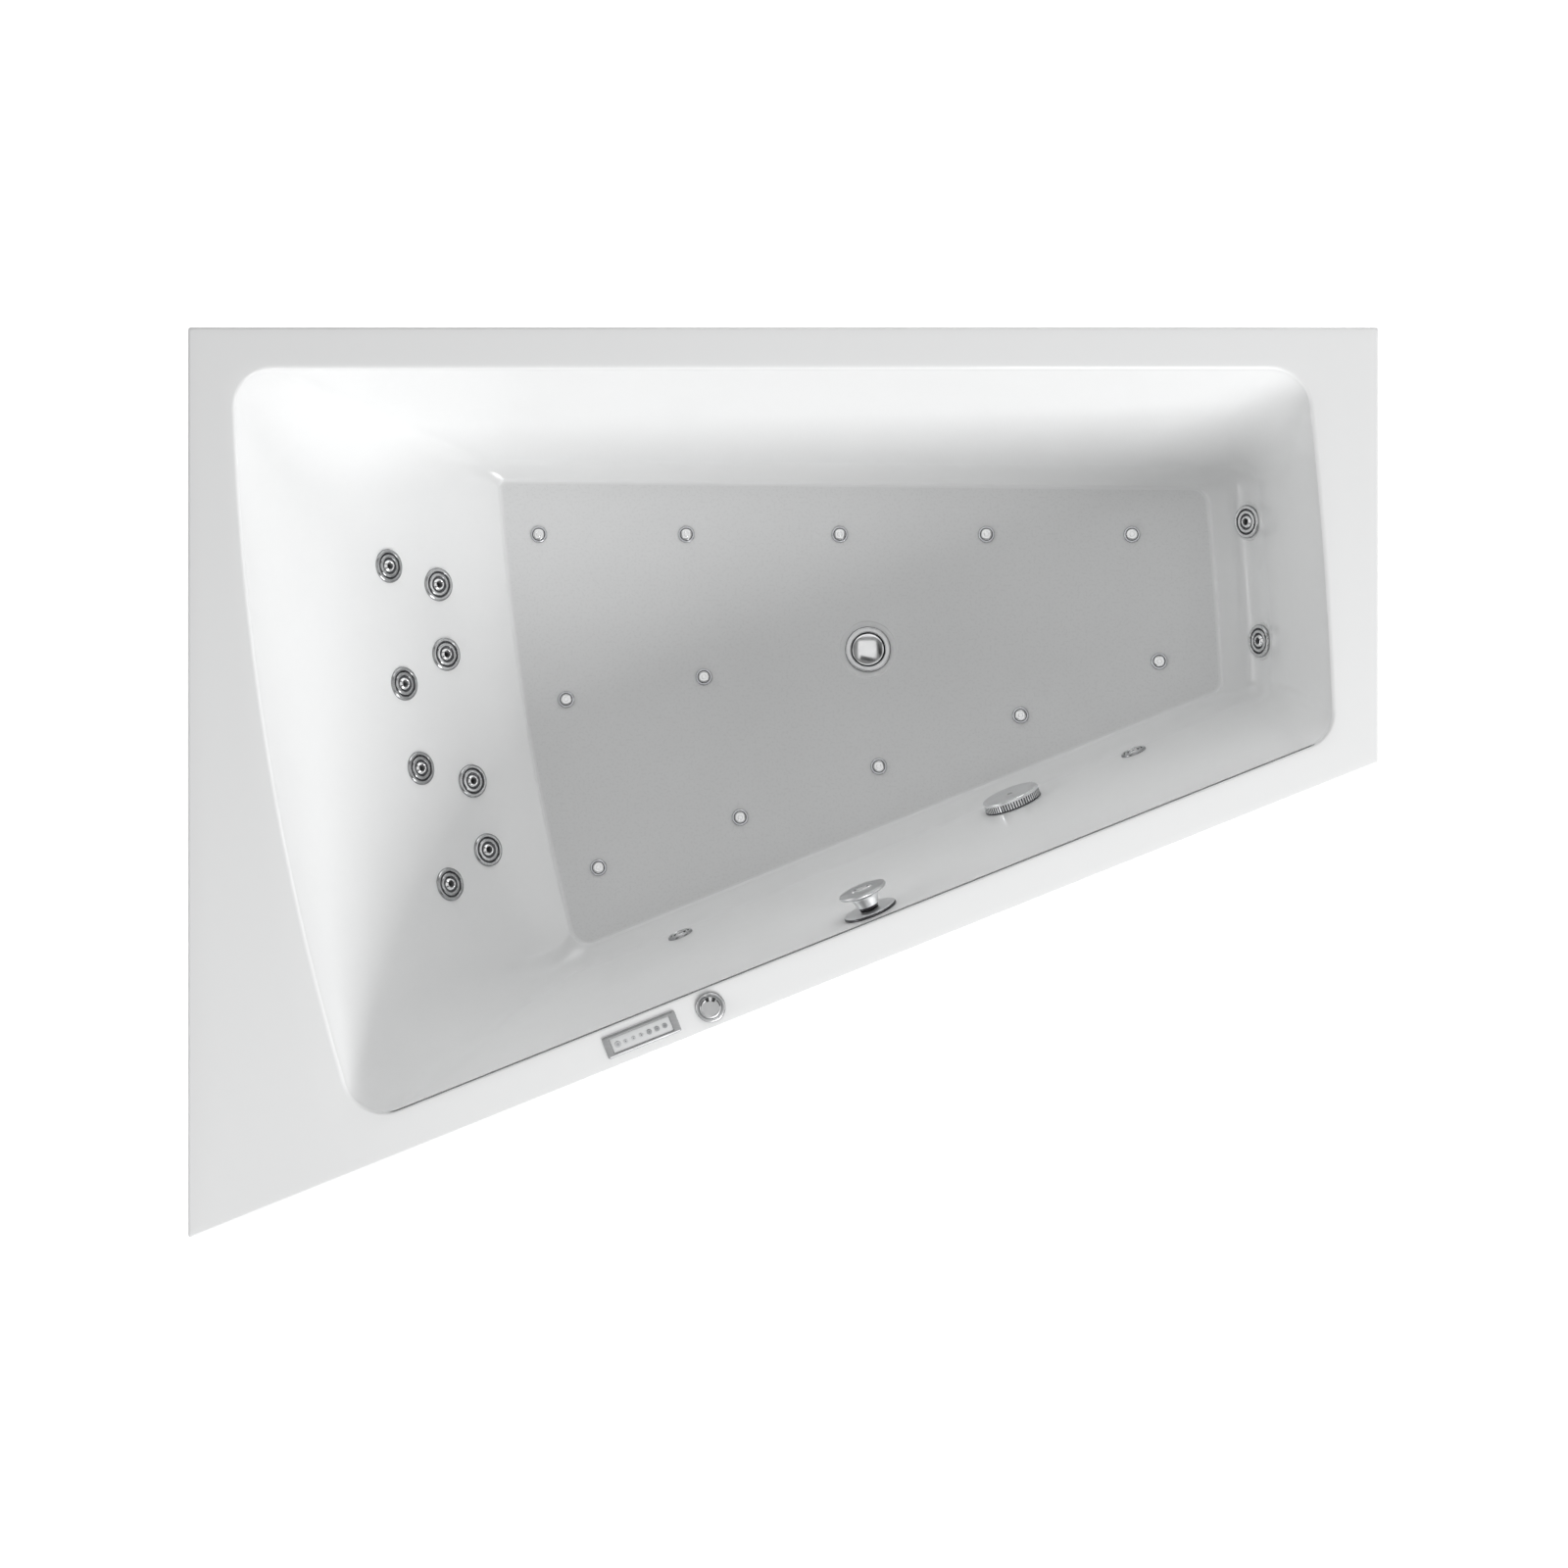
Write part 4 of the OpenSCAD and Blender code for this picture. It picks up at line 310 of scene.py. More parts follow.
# %% [markdown]
# A ring is four sides and four corners. A side is an arc of its bow radius, and a corner is a
# conic that leaves each side along its own direction, so no kink shows where they join. The
# light runs along the wall in one smooth band because of that, which is what sells acrylic.

# %% Rings
side_points = [110, 56, 110, 96]
corner_points = 18


def bow_points(a, b, radius, s):
    """Points at shares s of the side a to b, bulged by the arc of the given radius, and the
    side's direction there."""
    chord = np.linalg.norm(b - a, axis=-1, keepdims=True)
    d = (b - a) / chord
    n = np.stack([-d[..., 1], d[..., 0]], -1)
    base = a + (b - a) * s
    if radius is None:
        return base, np.broadcast_to(d, base.shape)
    x = (s - 0.5) * chord
    lift = np.sqrt(radius**2 - x**2) - np.sqrt(radius**2 - chord**2 / 4)
    return base + n * lift, unit(d * np.sqrt(radius**2 - x**2) - n * x)


def rings_of(corners, radii, bow):
    """Closed rings for an array of corner quads: levels x points x 2."""
    sides = np.roll(corners, -1, 1) - corners
    lengths = np.linalg.norm(sides, axis=-1)
    turn = np.arccos(np.clip((unit(sides) * unit(np.roll(sides, 1, 1))).sum(-1), -1, 1))
    setback = radii * np.tan(turn / 2)
    parts = []
    for i in range(4):
        k, m = (i + 1) % 4, (i + 2) % 4
        a, b, c = corners[:, i, None], corners[:, k, None], corners[:, m, None]
        s0 = (setback[:, i] / lengths[:, i])[:, None, None]
        s1 = (1 - setback[:, k] / lengths[:, i])[:, None, None]
        s2 = (setback[:, k] / lengths[:, k])[:, None, None]
        s = s0 + (s1 - s0) * np.linspace(0, 1, side_points[i])[None, :, None]
        parts.append(bow_points(a, b, bow[i], s)[0])
        p, dp = bow_points(a, b, bow[i], s1)
        q, dq = bow_points(b, c, bow[k], s2)
        tip = crossing(p, dp, q, dq)
        w = np.cos(np.arccos(np.clip((dp * dq).sum(-1, keepdims=True), -1, 1)) / 2)
        t = np.linspace(0, 1, corner_points + 2)[None, 1:-1, None]
        weights = [(1 - t) ** 2, 2 * t * (1 - t) * w, t * t]
        parts.append((p * weights[0] + tip * weights[1] + q * weights[2]) / sum(weights))
    return np.concatenate(parts, 1)


def grown(rings, distance):
    """Each ring moved outwards by a distance, along the normal of its neighbours' chord."""
    t = unit(np.roll(rings, -1, -2) - np.roll(rings, 1, -2))
    out = np.stack([-t[..., 1], t[..., 0]], -1)
    distance = np.asarray(distance)
    return rings + out * distance.reshape(distance.shape + (1,) * (rings.ndim - distance.ndim))


def edge_rings(insets):
    """Rings round the outer edge, moved in by each inset, with the corners kept at 4 mm."""
    quads = []
    for inset in insets:
        quad = []
        for i in range(4):
            a = unit(edge_line[i] - edge_line[i - 1])
            b = unit(edge_line[(i + 1) % 4] - edge_line[i])
            pa = edge_line[i] + np.array([a[1], -a[0]]) * inset
            pb = edge_line[i] + np.array([b[1], -b[0]]) * inset
            quad.append(crossing(pa, a, pb, b))
        quads.append(quad)
    return rings_of(np.array(quads), np.full((len(quads), 4), edge_r), [None] * 4)


def at_height(rings, z):
    """Flat rings lifted to their heights: levels x points x 3."""
    z = np.broadcast_to(np.reshape(z, (-1, 1, 1)), rings.shape[:2] + (1,))
    return np.concatenate([rings, z], -1)


print("points in a ring", rings_of(corners_at(0), corner_radii(0), bows).shape[1])

# %% [markdown]
# The stack starts at the rim of the waste hole and runs out over the floor, up the small step
# round the floor panel, up the wall, over the lip and the flat rim, down the skirt, and back
# underneath to the waste hole again. So the sheet is closed by itself and needs no cap. Along the
# front the lip holds a narrow seam, the thin dark line of the picture.

# %% The stack of rings
waste_at = np.array([0.0782 * bath_l, 0.1609 * bath_w])
wall_levels, floor_levels = 74, 22
panel_inset, skirt_round = 7.0, 0.6
seam_from, seam_to, seam_floor_z = 0.65, 2.25, 590.0
seam_reach, seam_fade = 1.04, 0.03

level_share = np.linspace(0, 1, wall_levels)
depths = wall_depth * (1 - level_share ** 1.6)
wall = at_height(rings_of(corners_at(depths), corner_radii(depths), bows), bath_h - lip_r - depths)
foot_ring = rings_of(corners_at(wall_depth), corner_radii(wall_depth), bows)
step_profile = np.array([
    [-4.6, 0.0], [-3.9, 0.15], [-3.3, 0.55], [-2.9, 1.2], [-1.3, 3.6], [-0.9, 4.2], [-0.45, 4.7],
])
step = at_height(grown(np.repeat(foot_ring, len(step_profile), 0), step_profile[:, 0]),
                 floor_z + step_profile[:, 1])
floor_edge = grown(foot_ring, -panel_inset)[0]
recess_profile = np.array([
    [30.5, -8.0], [30.5, -2.1], [30.9, -1.7], [31.5, -1.5], [43.2, -1.5], [43.9, -1.3],
    [44.3, -0.8], [44.6, -0.3], [45.2, -0.05], [46.2, 0.0],
])
hole = np.stack([waste_at + unit(floor_edge - waste_at) * r for r in recess_profile[:, 0]])
recess = at_height(hole, floor_z + recess_profile[:, 1])
share = (np.linspace(0, 1, floor_levels)[1:] ** 1.3)[:, None, None]
floor_rings = at_height(hole[-1:] * (1 - share) + floor_edge * share, floor_z)
rim_ring = wall[-1:, :, :2]
lip_out = np.array([0.1, 0.35, 0.6, 0.66, 0.72, 2.2, 2.26, 2.4, 3.2, 4.4, 6.0])
lip_z = bath_h - lip_r + np.sqrt(lip_r**2 - (lip_r - lip_out) ** 2)
lip = at_height(grown(np.repeat(rim_ring, len(lip_out), 0), lip_out), lip_z)
front_start = sum(side_points[:2]) + 2 * corner_points
along_front = (np.arange(rim_ring.shape[1]) - front_start) / side_points[2]
in_front = np.clip(seam_reach - np.abs(along_front - 0.5) * 2, 0, seam_fade) / seam_fade
in_seam = (lip_out > seam_from) & (lip_out < seam_to)
lip[..., 2] += np.where(in_seam, seam_floor_z - lip_z, 0)[:, None] * in_front
edge_angles = np.radians(np.linspace(90, 0, 8))
edge = at_height(edge_rings(edge_r * (1 - np.cos(edge_angles))),
                 bath_h - edge_r * (1 - np.sin(edge_angles)))
rim_share = np.linspace(0, 1, 6)[1:-1][:, None, None]
rim = at_height(lip[-1:, :, :2] * (1 - rim_share) + edge[:1, :, :2] * rim_share, bath_h)
skirt_z = bath_h - skirt_h
skirt = at_height(
    edge_rings([0, skirt_round, shell_t - skirt_round, shell_t, shell_t]),
    [skirt_z + skirt_round, skirt_z, skirt_z, skirt_z + skirt_round, bath_h - shell_t])
print("wall", wall.shape, "floor", floor_rings.shape, "rim", rim.shape)

# %% [markdown]
# The back of the sheet is the front moved out by its thickness along the surface normal, which
# comes from the cross product of the two grid directions. The glass-fibre backing follows it.

# %% The back of the sheet
along = np.roll(wall, -1, 1) - np.roll(wall, 1, 1)
normal = unit(np.cross(along, np.gradient(wall, axis=0)))
outward = np.sign((normal[..., :2] * (wall[..., :2] - floor_edge.mean(0))).sum(-1, keepdims=True))
back = (wall + normal * outward * shell_t)[::-1]
under_rim = at_height(grown(rim_ring, shell_t), bath_h - shell_t)
under_floor = at_height(
    np.concatenate([grown(foot_ring, -1.5), floor_edge[None], hole[-1:]]), floor_z - shell_t)
stack = np.concatenate([
    recess, floor_rings, step, wall, lip, rim, edge, skirt, under_rim, back[1:], under_floor])
print("levels in the stack", len(stack), "points", stack.shape[0] * stack.shape[1])

# %% [markdown]
# The stack becomes a mesh of four-sided faces. Then the holes are cut: one for each jet, each air
# injector, the suction fitting, the overflow, the air control and the keypad. Flanges cover
# their edges on the real bath too, so a plain cut is enough, and it shows the sheet's thickness.


# %% Mesh helpers
fold, turned_fold, pad_fold = 35, 40, 30


def mesh_piece(name, points, faces, materials, body="bath", slot="chrome", sharp=fold, weld=False):
    """A piece from points in millimetres and faces, smooth except at folds of more than the
    sharp angle, that rides on a body. Faces are turned to point outwards, and weld joins the
    points that coincide."""
    mesh = bpy.data.meshes.new(name)
    mesh.from_pydata((np.asarray(points, float) / 1000).tolist(), [], faces)
    model = bmesh.new()
    model.from_mesh(mesh)
    if weld:
        bmesh.ops.remove_doubles(model, verts=model.verts, dist=1e-6)
    bmesh.ops.recalc_face_normals(model, faces=model.faces)
    model.to_mesh(mesh)
    model.free()
    mesh.shade_smooth()
    mesh.set_sharp_from_angle(angle=math.radians(sharp))
    piece = bpy.data.objects.new(name, mesh)
    scene.collection.objects.link(piece)
    for material in materials:
        mesh.materials.append(material)
    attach(piece, body)
    return piece


def grid_faces(levels, around, closed_levels=False):
    """Four-sided faces between the levels of a stack of closed rings."""
    k = np.arange(levels if closed_levels else levels - 1)[:, None]
    j = np.arange(around)[None, :]
    i = (j + 1) % around
    m = (k + 1) % levels
    faces = np.stack([k * around + j, m * around + j, m * around + i, k * around + i], -1)
    return faces.reshape(-1, 4).tolist()


def axes_of(seat):
    """The three axes of a seat as columns: across, up the slope and out of the wall."""
    point, out, up_slope = seat
    return np.stack([np.cross(up_slope, out), up_slope, out], 1)


def placed(seat, local):
    """Points given along a seat's three axes, in space."""
    return np.asarray(local, float) @ axes_of(seat).T + seat[0]


def moved(seat, x=0.0, y=0.0, z=0.0):
    """A seat moved along its own axes."""
    return placed(seat, [x, y, z]), seat[1], seat[2]


def joined(parts):
    """Several pairs of points and faces as one pair."""
    points, faces, base = [], [], 0
    for some_points, some_faces in parts:
        points.append(some_points)
        faces += [[v + base for v in face] for face in some_faces]
        base += len(some_points)
    return np.concatenate(points), faces


def turned(profile, seats, segments):
    """Points and faces of a profile of radius and height turned round each seat's axis:
    (r cos t, r sin t, z) in the seat's frame. A point at radius 0 becomes one pole."""
    t = np.linspace(0, 2 * math.pi, segments, endpoint=False)
    local, start, pole, count = [], [], [], 0
    for r, z in np.asarray(profile, float):
        start.append(count)
        pole.append(r < 1e-6)
        if pole[-1]:
            local.append([[0, 0, z]])
        else:
            local.append(np.stack([r * np.cos(t), r * np.sin(t), np.full(segments, z)], 1))
        count += len(local[-1])
    local = np.concatenate(local)
    faces = []
    for a in range(len(start) - 1):
        for j in range(segments):
            i = (j + 1) % segments
            around = ((a, j), (a + 1, j), (a + 1, i), (a, i))
            face = list(dict.fromkeys(start[k] + (0 if pole[k] else v) for k, v in around))
            if len(face) > 2:
                faces.append(face)
    return joined((placed(seat, local), faces) for seat in seats)


def arc_block(seat, r_in, r_out, low, high, start, end, steps=14):
    """A block bent round a seat's axis: the four corners of its section turned from the start
    angle to the end angle, closed at both ends."""
    t = np.radians(np.linspace(start, end, steps))
    section = np.array([[r_in, low], [r_out, low], [r_out, high], [r_in, high]])
    local = np.stack([np.outer(np.cos(t), section[:, 0]), np.outer(np.sin(t), section[:, 0]),
                      np.broadcast_to(section[:, 1], (steps, 4))], -1).reshape(-1, 3)
    faces = grid_faces(steps, 4) + [[3, 2, 1, 0], [4 * steps - 4 + v for v in range(4)]]
    return placed(seat, local), faces


def level_seat(x, y, z, angle=0.0):
    """A seat that faces up, turned about its own axis by an angle in degrees."""
    a = math.radians(angle)
    return (np.array([x, y, z], float), np.array([0.0, 0, 1]),
            np.array([-math.sin(a), math.cos(a), 0]))


# %% [markdown]
# Every wall fitting sits on a seat: a point of the wall, the wall's normal there and the way up
# the slope. The point is found from above, by halving the depth until the wall is reached.


# %% Seats of the fittings
def side_at(side, s, depth):
    """The flat point at share s of a side at a depth, with the side's start and direction."""
    quad = corners_at(depth)[0]
    a, b = quad[side], quad[(side + 1) % 4]
    return bow_points(a, b, bows[side], np.array([[s]]))[0].reshape(2), a, b - a


def wall_point(side, s, depth):
    """The point at share s of a side at a depth, in space."""
    return np.append(side_at(side, s, depth)[0], bath_h - lip_r - depth)


def seat_at(side, s, depth):
    """Point, normal and up direction of the wall, the normal from two small steps along it."""
    along_it = wall_point(side, s + 0.0003, depth) - wall_point(side, s - 0.0003, depth)
    down_it = wall_point(side, s, depth + 0.5) - wall_point(side, s, depth - 0.5)
    out = unit(np.cross(down_it, along_it))
    out = out if out[2] > 0 else -out
    return wall_point(side, s, depth), out, unit(np.array([0, 0, 1]) - out * out[2])


def seat_under(side, share_x, share_y):
    """The seat seen from above at shares of the bath's length and width."""
    place = np.array([share_x * bath_l, share_y * bath_w])
    low, high = 0.0, wall_depth
    for _ in range(30):
        depth = (low + high) / 2
        _, a, run = side_at(side, 0.5, depth)
        s = (place - a) @ run / (run @ run)
        flat = side_at(side, s, depth)[0]
        if (place - flat) @ np.array([run[1], -run[0]]) > 0:
            low = depth
        else:
            high = depth
    return seat_at(side, s, low)


foot_side, front_side, head_side = 1, 2, 3
back_shares = [(-0.354, 0.254), (-0.3136, 0.2354), (-0.3065, 0.1525), (-0.3403, 0.116),
               (-0.3257, 0.017), (-0.283, 0.002), (-0.269, -0.08), (-0.3, -0.1195)]
foot_shares = [(0.4274, 0.3133), (0.4385, 0.17)]
side_shares = [(-0.0935, -0.1814), (0.3188, 0.0359)]
injector_shares = [(-0.2258, 0.2998), (-0.0896, 0.2998), (0.0521, 0.2998), (0.1874, 0.2998),
                   (0.3218, 0.2998), (0.347, 0.1467), (0.2189, 0.0815), (0.0881, 0.0198),
                   (-0.0399, -0.0418), (-0.1708, -0.1024), (-0.2005, 0.1005), (-0.0734, 0.1278)]
back_seats = [seat_under(head_side, *s) for s in back_shares]
foot_seats = [seat_under(foot_side, *s) for s in foot_shares]
side_seats = [seat_under(front_side, *s) for s in side_shares]
injector_seats = [level_seat(x * bath_l, y * bath_w, floor_z) for x, y in injector_shares]
waste_seat = level_seat(*waste_at, floor_z)
suction_seat = seat_under(front_side, 0.2087, -0.0248)
overflow_seat = seat_at(front_side, 0.476, 50.0)
front_angle = math.degrees(math.atan2(front_dir[1], front_dir[0]))
rim_middle = 29.5
air_seat, keypad_seat = [
    level_seat(*(outline[3] + front_dir * along_edge + front_in * rim_middle), bath_h, front_angle)
    for along_edge in (815.0, 709.0)]
print("first back seat", back_seats[0][0].round(1), "overflow", overflow_seat[0].round(1))

# %% [markdown]
# ## Finishes
# One shader group serves every finish: a noise that drifts between two colours, between two
# roughness values, and a fine relief for a bump. Each material places it with its own scale and
# values, so acrylic gets the faint waviness of a moulded sheet and cast plastic its fine sparkle.


# %% The shared grain group
def build_grain():
    """Colour, Roughness and Height from two noises on object coordinates: a broad one mixes the
    colours and the roughness, a fine one is the relief."""
    group = bpy.data.node_groups.new("surface_grain", "ShaderNodeTree")
    for label, kind, value in [
        ("Broad Scale", "Float", 6.0), ("Fine Scale", "Float", 300.0),
        ("Stretch", "Vector", (1, 1, 1)),
        ("Color 1", "Color", (0.8, 0.8, 0.8, 1)), ("Color 2", "Color", (0.7, 0.7, 0.7, 1)),
        ("Rough 1", "Float", 0.3), ("Rough 2", "Float", 0.4),
    ]:
        socket = group.interface.new_socket(label, in_out="INPUT", socket_type="NodeSocket" + kind)
        socket.default_value = value
    for label, kind in (("Color", "Color"), ("Roughness", "Float"), ("Height", "Float")):
        group.interface.new_socket(label, in_out="OUTPUT", socket_type="NodeSocket" + kind)
    add, link = group.nodes.new, group.links.new
    given, result = add("NodeGroupInput"), add("NodeGroupOutput")
    place = add("ShaderNodeTexCoord")
    stretch = add("ShaderNodeVectorMath")
    stretch.operation = "MULTIPLY"
    link(place.outputs["Object"], stretch.inputs[0])
    link(given.outputs["Stretch"], stretch.inputs[1])
    broad, fine = add("ShaderNodeTexNoise"), add("ShaderNodeTexNoise")
    for noise, scale, detail in ((broad, "Broad Scale", 4), (fine, "Fine Scale", 2)):
        noise.inputs["Detail"].default_value = detail
        link(stretch.outputs[0], noise.inputs["Vector"])
        link(given.outputs[scale], noise.inputs["Scale"])
    contrast, rough = add("ShaderNodeMapRange"), add("ShaderNodeMapRange")
    contrast.inputs["From Min"].default_value = 0.3
    contrast.inputs["From Max"].default_value = 0.7
    tint = add("ShaderNodeMix")
    tint.data_type = "RGBA"
    for source, socket in [
        (broad.outputs["Fac"], contrast.inputs["Value"]),
        (contrast.outputs[0], tint.inputs["Factor"]),
        (given.outputs["Color 1"], tint.inputs[6]),
        (given.outputs["Color 2"], tint.inputs[7]),
        (tint.outputs[2], result.inputs["Color"]),
        (contrast.outputs[0], rough.inputs["Value"]),
        (given.outputs["Rough 1"], rough.inputs["To Min"]),
        (given.outputs["Rough 2"], rough.inputs["To Max"]),
        (rough.outputs[0], result.inputs["Roughness"]),
        (fine.outputs["Fac"], result.inputs["Height"]),
    ]:
        link(source, socket)
    return group


grain = build_grain()


def finish(name, colors, rough, scales, relief, depth=0.0002, metallic=0.0, stretch=(1, 1, 1)):
    """A Principled material whose colour, roughness and bump come from the grain group. How
    metallic it is stays on the shader's own socket, being the same all over."""
    material, tree, output = new_material(name)
    shader = tree.nodes.new("ShaderNodeBsdfPrincipled")
    link = tree.links.new
    link(shader.outputs[0], output.inputs["Surface"])
    source = tree.nodes.new("ShaderNodeGroup")
    source.node_tree = grain
    source.inputs["Stretch"].default_value = stretch
    for label, value in zip(("Broad Scale", "Fine Scale", "Rough 1", "Rough 2"), (*scales, *rough)):
        source.inputs[label].default_value = value
    for k, color in enumerate(colors):
        source.inputs["Color %d" % (k + 1)].default_value = (*color, 1)
    link(source.outputs["Color"], shader.inputs["Base Color"])
    link(source.outputs["Roughness"], shader.inputs["Roughness"])
    bump = tree.nodes.new("ShaderNodeBump")
    bump.inputs["Strength"].default_value = relief
    bump.inputs["Distance"].default_value = depth
    link(source.outputs["Height"], bump.inputs["Height"])
    link(bump.outputs[0], shader.inputs["Normal"])
    shader.inputs["Metallic"].default_value = metallic
    return material


def plating(name, bright, dull, rough, scales, relief, metallic=1.0, stretch=(1, 1, 1)):
    """A metal between two greys, each leaning a little to blue: (v, v + 0.005, v + 0.01)."""
    colors = [(v, v + 0.005, v + 0.01) for v in (bright, dull)]
    return finish(name, colors, rough, scales, relief, metallic=metallic, stretch=stretch)


acrylic = finish("white_acrylic", [(0.956, 0.961, 0.961), (0.950, 0.956, 0.957)], (0.14, 0.18),
                 (40, 40), relief=0.03, depth=0.0004)
back_resin = finish("resin_backing", [(0.76, 0.74, 0.67), (0.68, 0.66, 0.58)], (0.4, 0.6),
                    (14, 160), relief=0.5, depth=0.001)
# The floor panel's acrylic is a darker tone as painted shade; its rougher, finer grain is an
# anti-slip finish.
floor_acrylic_painted_shade = finish("floor_acrylic_painted_shade", [(0.877, 0.882, 0.883), (0.867, 0.872, 0.873)],
                       (0.26, 0.3), (260, 700), relief=0.12, depth=0.0003)
chrome = finish("bright_chrome", [(0.62, 0.63, 0.65), (0.57, 0.58, 0.60)], (0.10, 0.17),
                (30, 400), relief=0.02, metallic=1.0)
print("shared finishes made")


# %% Cut the shell
hole_drop, floor_drop, hole_top = 30, 14, 12
keypad_half = (50.5, 12.5)


def cut_away(piece, points, faces):
    """A closed cutter taken out of a piece by one boolean difference. The new edges are marked
    sharp again, or the flat faces beside them would be shaded with dark streaks."""
    cutter = mesh_piece("cutter", points, faces, [acrylic], slot=None)
    cut = piece.modifiers.new("cut", "BOOLEAN")
    cut.operation, cut.solver, cut.object = "DIFFERENCE", "EXACT", cutter
    depsgraph = bpy.context.evaluated_depsgraph_get()
    made = bpy.data.meshes.new_from_object(piece.evaluated_get(depsgraph))
    piece.modifiers.clear()
    piece.data = made
    made.set_sharp_from_angle(angle=math.radians(fold))
    bpy.data.objects.remove(cutter)


def make_shell():
    """The stack as one closed mesh, with the openings taken out by a boolean difference."""
    faces = grid_faces(len(stack), stack.shape[1], closed_levels=True)
    shell = mesh_piece("shell_surface", stack.reshape(-1, 3), faces,
                       [acrylic, back_resin, floor_acrylic_painted_shade], slot="acrylic")
    level = np.repeat(np.arange(len(stack)), stack.shape[1])
    on_floor = (level >= len(recess) - 1) & (level < len(recess) + len(floor_rings) - 1)
    behind = level >= len(stack) - len(under_floor) - len(back) - 1
    # Slot 2, the floor panel, takes the darker acrylic as painted shade; slot 1 is the resin
    # backing.
    tones = np.where(behind, 1, np.where(on_floor, 2, 0))
    shell.data.polygons.foreach_set("material_index", tones)
    parts = []
    for seats, radius, drop in [
        (back_seats + foot_seats, 19.5, hole_drop), (side_seats, 16.0, hole_drop),
        (injector_seats, 6.3, floor_drop), ([suction_seat], 30.5, hole_drop),
        ([overflow_seat], 25.5, hole_drop), ([air_seat], 13.5, hole_drop),
    ]:
        profile = [[0, -drop], [radius, -drop], [radius, hole_top], [0, hole_top]]
        parts.append(turned(profile, seats, 64))
    corners = np.array([[[-1, -1], [1, -1], [1, 1], [-1, 1]]]) * keypad_half
    box = at_height(np.repeat(corners, 2, 0), [-hole_drop, hole_top]).reshape(-1, 3)
    parts.append((placed(keypad_seat, box), grid_faces(2, 4) + [[3, 2, 1, 0], [4, 5, 6, 7]]))
    cut_away(shell, *joined(parts))
    return shell


shell = make_shell()
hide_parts("tub_shell")
print("shell faces", len(shell.data.polygons))

# %% [markdown]
# ## Jets
# A jet is a plated flange with two raised rings and a groove between them, and in its middle
# a ball nozzle that can be aimed. The groove, the recess round the ball and some flange edges are
# painted dark as painted shade. All of it is turned work, so each is a profile carried round the
# seat's axis. Corners of a profile are rounded first, since a plated edge is never sharp and its
# thin highlight is what makes it read as metal.


# %% Turned pieces
def rounded(profile, radius, steps=3, closed=False):
    """A profile whose corners are replaced by short quadratic curves that start and end up to
    one radius away from the corner."""
    p = np.asarray(profile, float)
    n = len(p)
    out = []
    for k in range(n):
        if not closed and k in (0, n - 1):
            out.append(p[k])
            continue
        before, after = p[k - 1] - p[k], p[(k + 1) % n] - p[k]
        la, lb = np.linalg.norm(before), np.linalg.norm(after)
        a = p[k] + before / la * min(radius, la * 0.45)
        b = p[k] + after / lb * min(radius, lb * 0.45)
        for t in np.linspace(0, 1, steps + 1):
            out.append((1 - t) ** 2 * a + 2 * t * (1 - t) * p[k] + t * t * b)
    return np.array(out)


def lathe(name, profile, seats, material, radius=0.0, steps=3, segments=64, body="bath",
          slot="chrome"):
    """A turned piece. A profile that starts on the axis ends there too, any other is closed to
    a ring. Its corners are rounded by a radius."""
    profile = np.asarray(profile, float)
    closed = profile[0][0] > 0
    if radius:
        profile = rounded(profile, radius, steps, closed)
    if closed:
        profile = np.vstack([profile, profile[:1]])
    return mesh_piece(name, *turned(profile, seats, segments), [material], body, slot,
                      sharp=turned_fold, weld=True)


def toned(piece, seats, material, test):
    """A second material on the faces whose radius and height over their nearest seat pass a
    test, both in millimetres."""
    piece.data.materials.append(material)
    number = len(piece.data.materials) - 1
    spots = np.array([s[0] for s in seats])
    for face in piece.data.polygons:
        away = np.array(face.center) * 1000 - spots
        k = int(np.argmin((away ** 2).sum(1)))
        out = seats[k][1]
        height = away[k] @ out
        if test(np.linalg.norm(away[k] - out * height), height):
            face.material_index = number


# %% Jet flanges
# Dark plating for the back jets' flanges, also laid on the edges of the paler flanges as painted
# shade.
ring_plating_and_edge_shade = plating("dark_plating_and_edge_shade", 0.42, 0.36, (0.18, 0.26), (60, 500), 0.05)
nozzle_chrome = plating("bright_nozzle_plating", 0.90, 0.85, (0.12, 0.2), (80, 500), 0.02)
pale_plating = plating("pale_plating", 0.66, 0.60, (0.2, 0.3), (50, 500), 0.03)
satin_plating = plating("satin_plating", 0.64, 0.59, (0.36, 0.44), (50, 500), 0.05)
# Bright satin plating, also laid on the overflow control's neck as a painted highlight.
bright_satin_and_highlight = plating("bright_satin_and_highlight", 0.90, 0.85, (0.28, 0.36), (50, 500), 0.04)
# A near-black finish laid on as painted shade in grooves, gaps and recesses and along the edges of
# plated rings.
painted_shade_dark = finish("painted_shade_dark", [(0.10, 0.10, 0.105), (0.07, 0.07, 0.075)], (0.25, 0.35),
                   (60, 500), relief=0.05, metallic=1.0)


def flange_profile(r, ball):
    """Outer ring, groove, inner ring, recess (later painted dark as shade) and the ball's socket,
    from the outside in.
    """
    k = ball / 12.0
    return np.array([
        [r * 0.73, -22], [r * 0.73, -0.3], [r, -0.3], [r, 1.5], [r * 0.972, 3.3], [r * 0.90, 4.5],
        [r * 0.80, 4.5], [r * 0.765, 3.4], [r * 0.755, 1.9], [r * 0.70, 1.9], [r * 0.685, 3.2],
        [r * 0.64, 4.2], [12.9 * k + 0.6, 4.3], [12.75 * k, 3.9], [12.5 * k, 2.2], [10.6 * k, 2.1],
        [10.35 * k, 2.0], [11.4 * k, 0.4], [12.15 * k, -4 * k], [11.3 * k, -9], [9.7 * k, -10],
        [9.7 * k, -22],
    ])


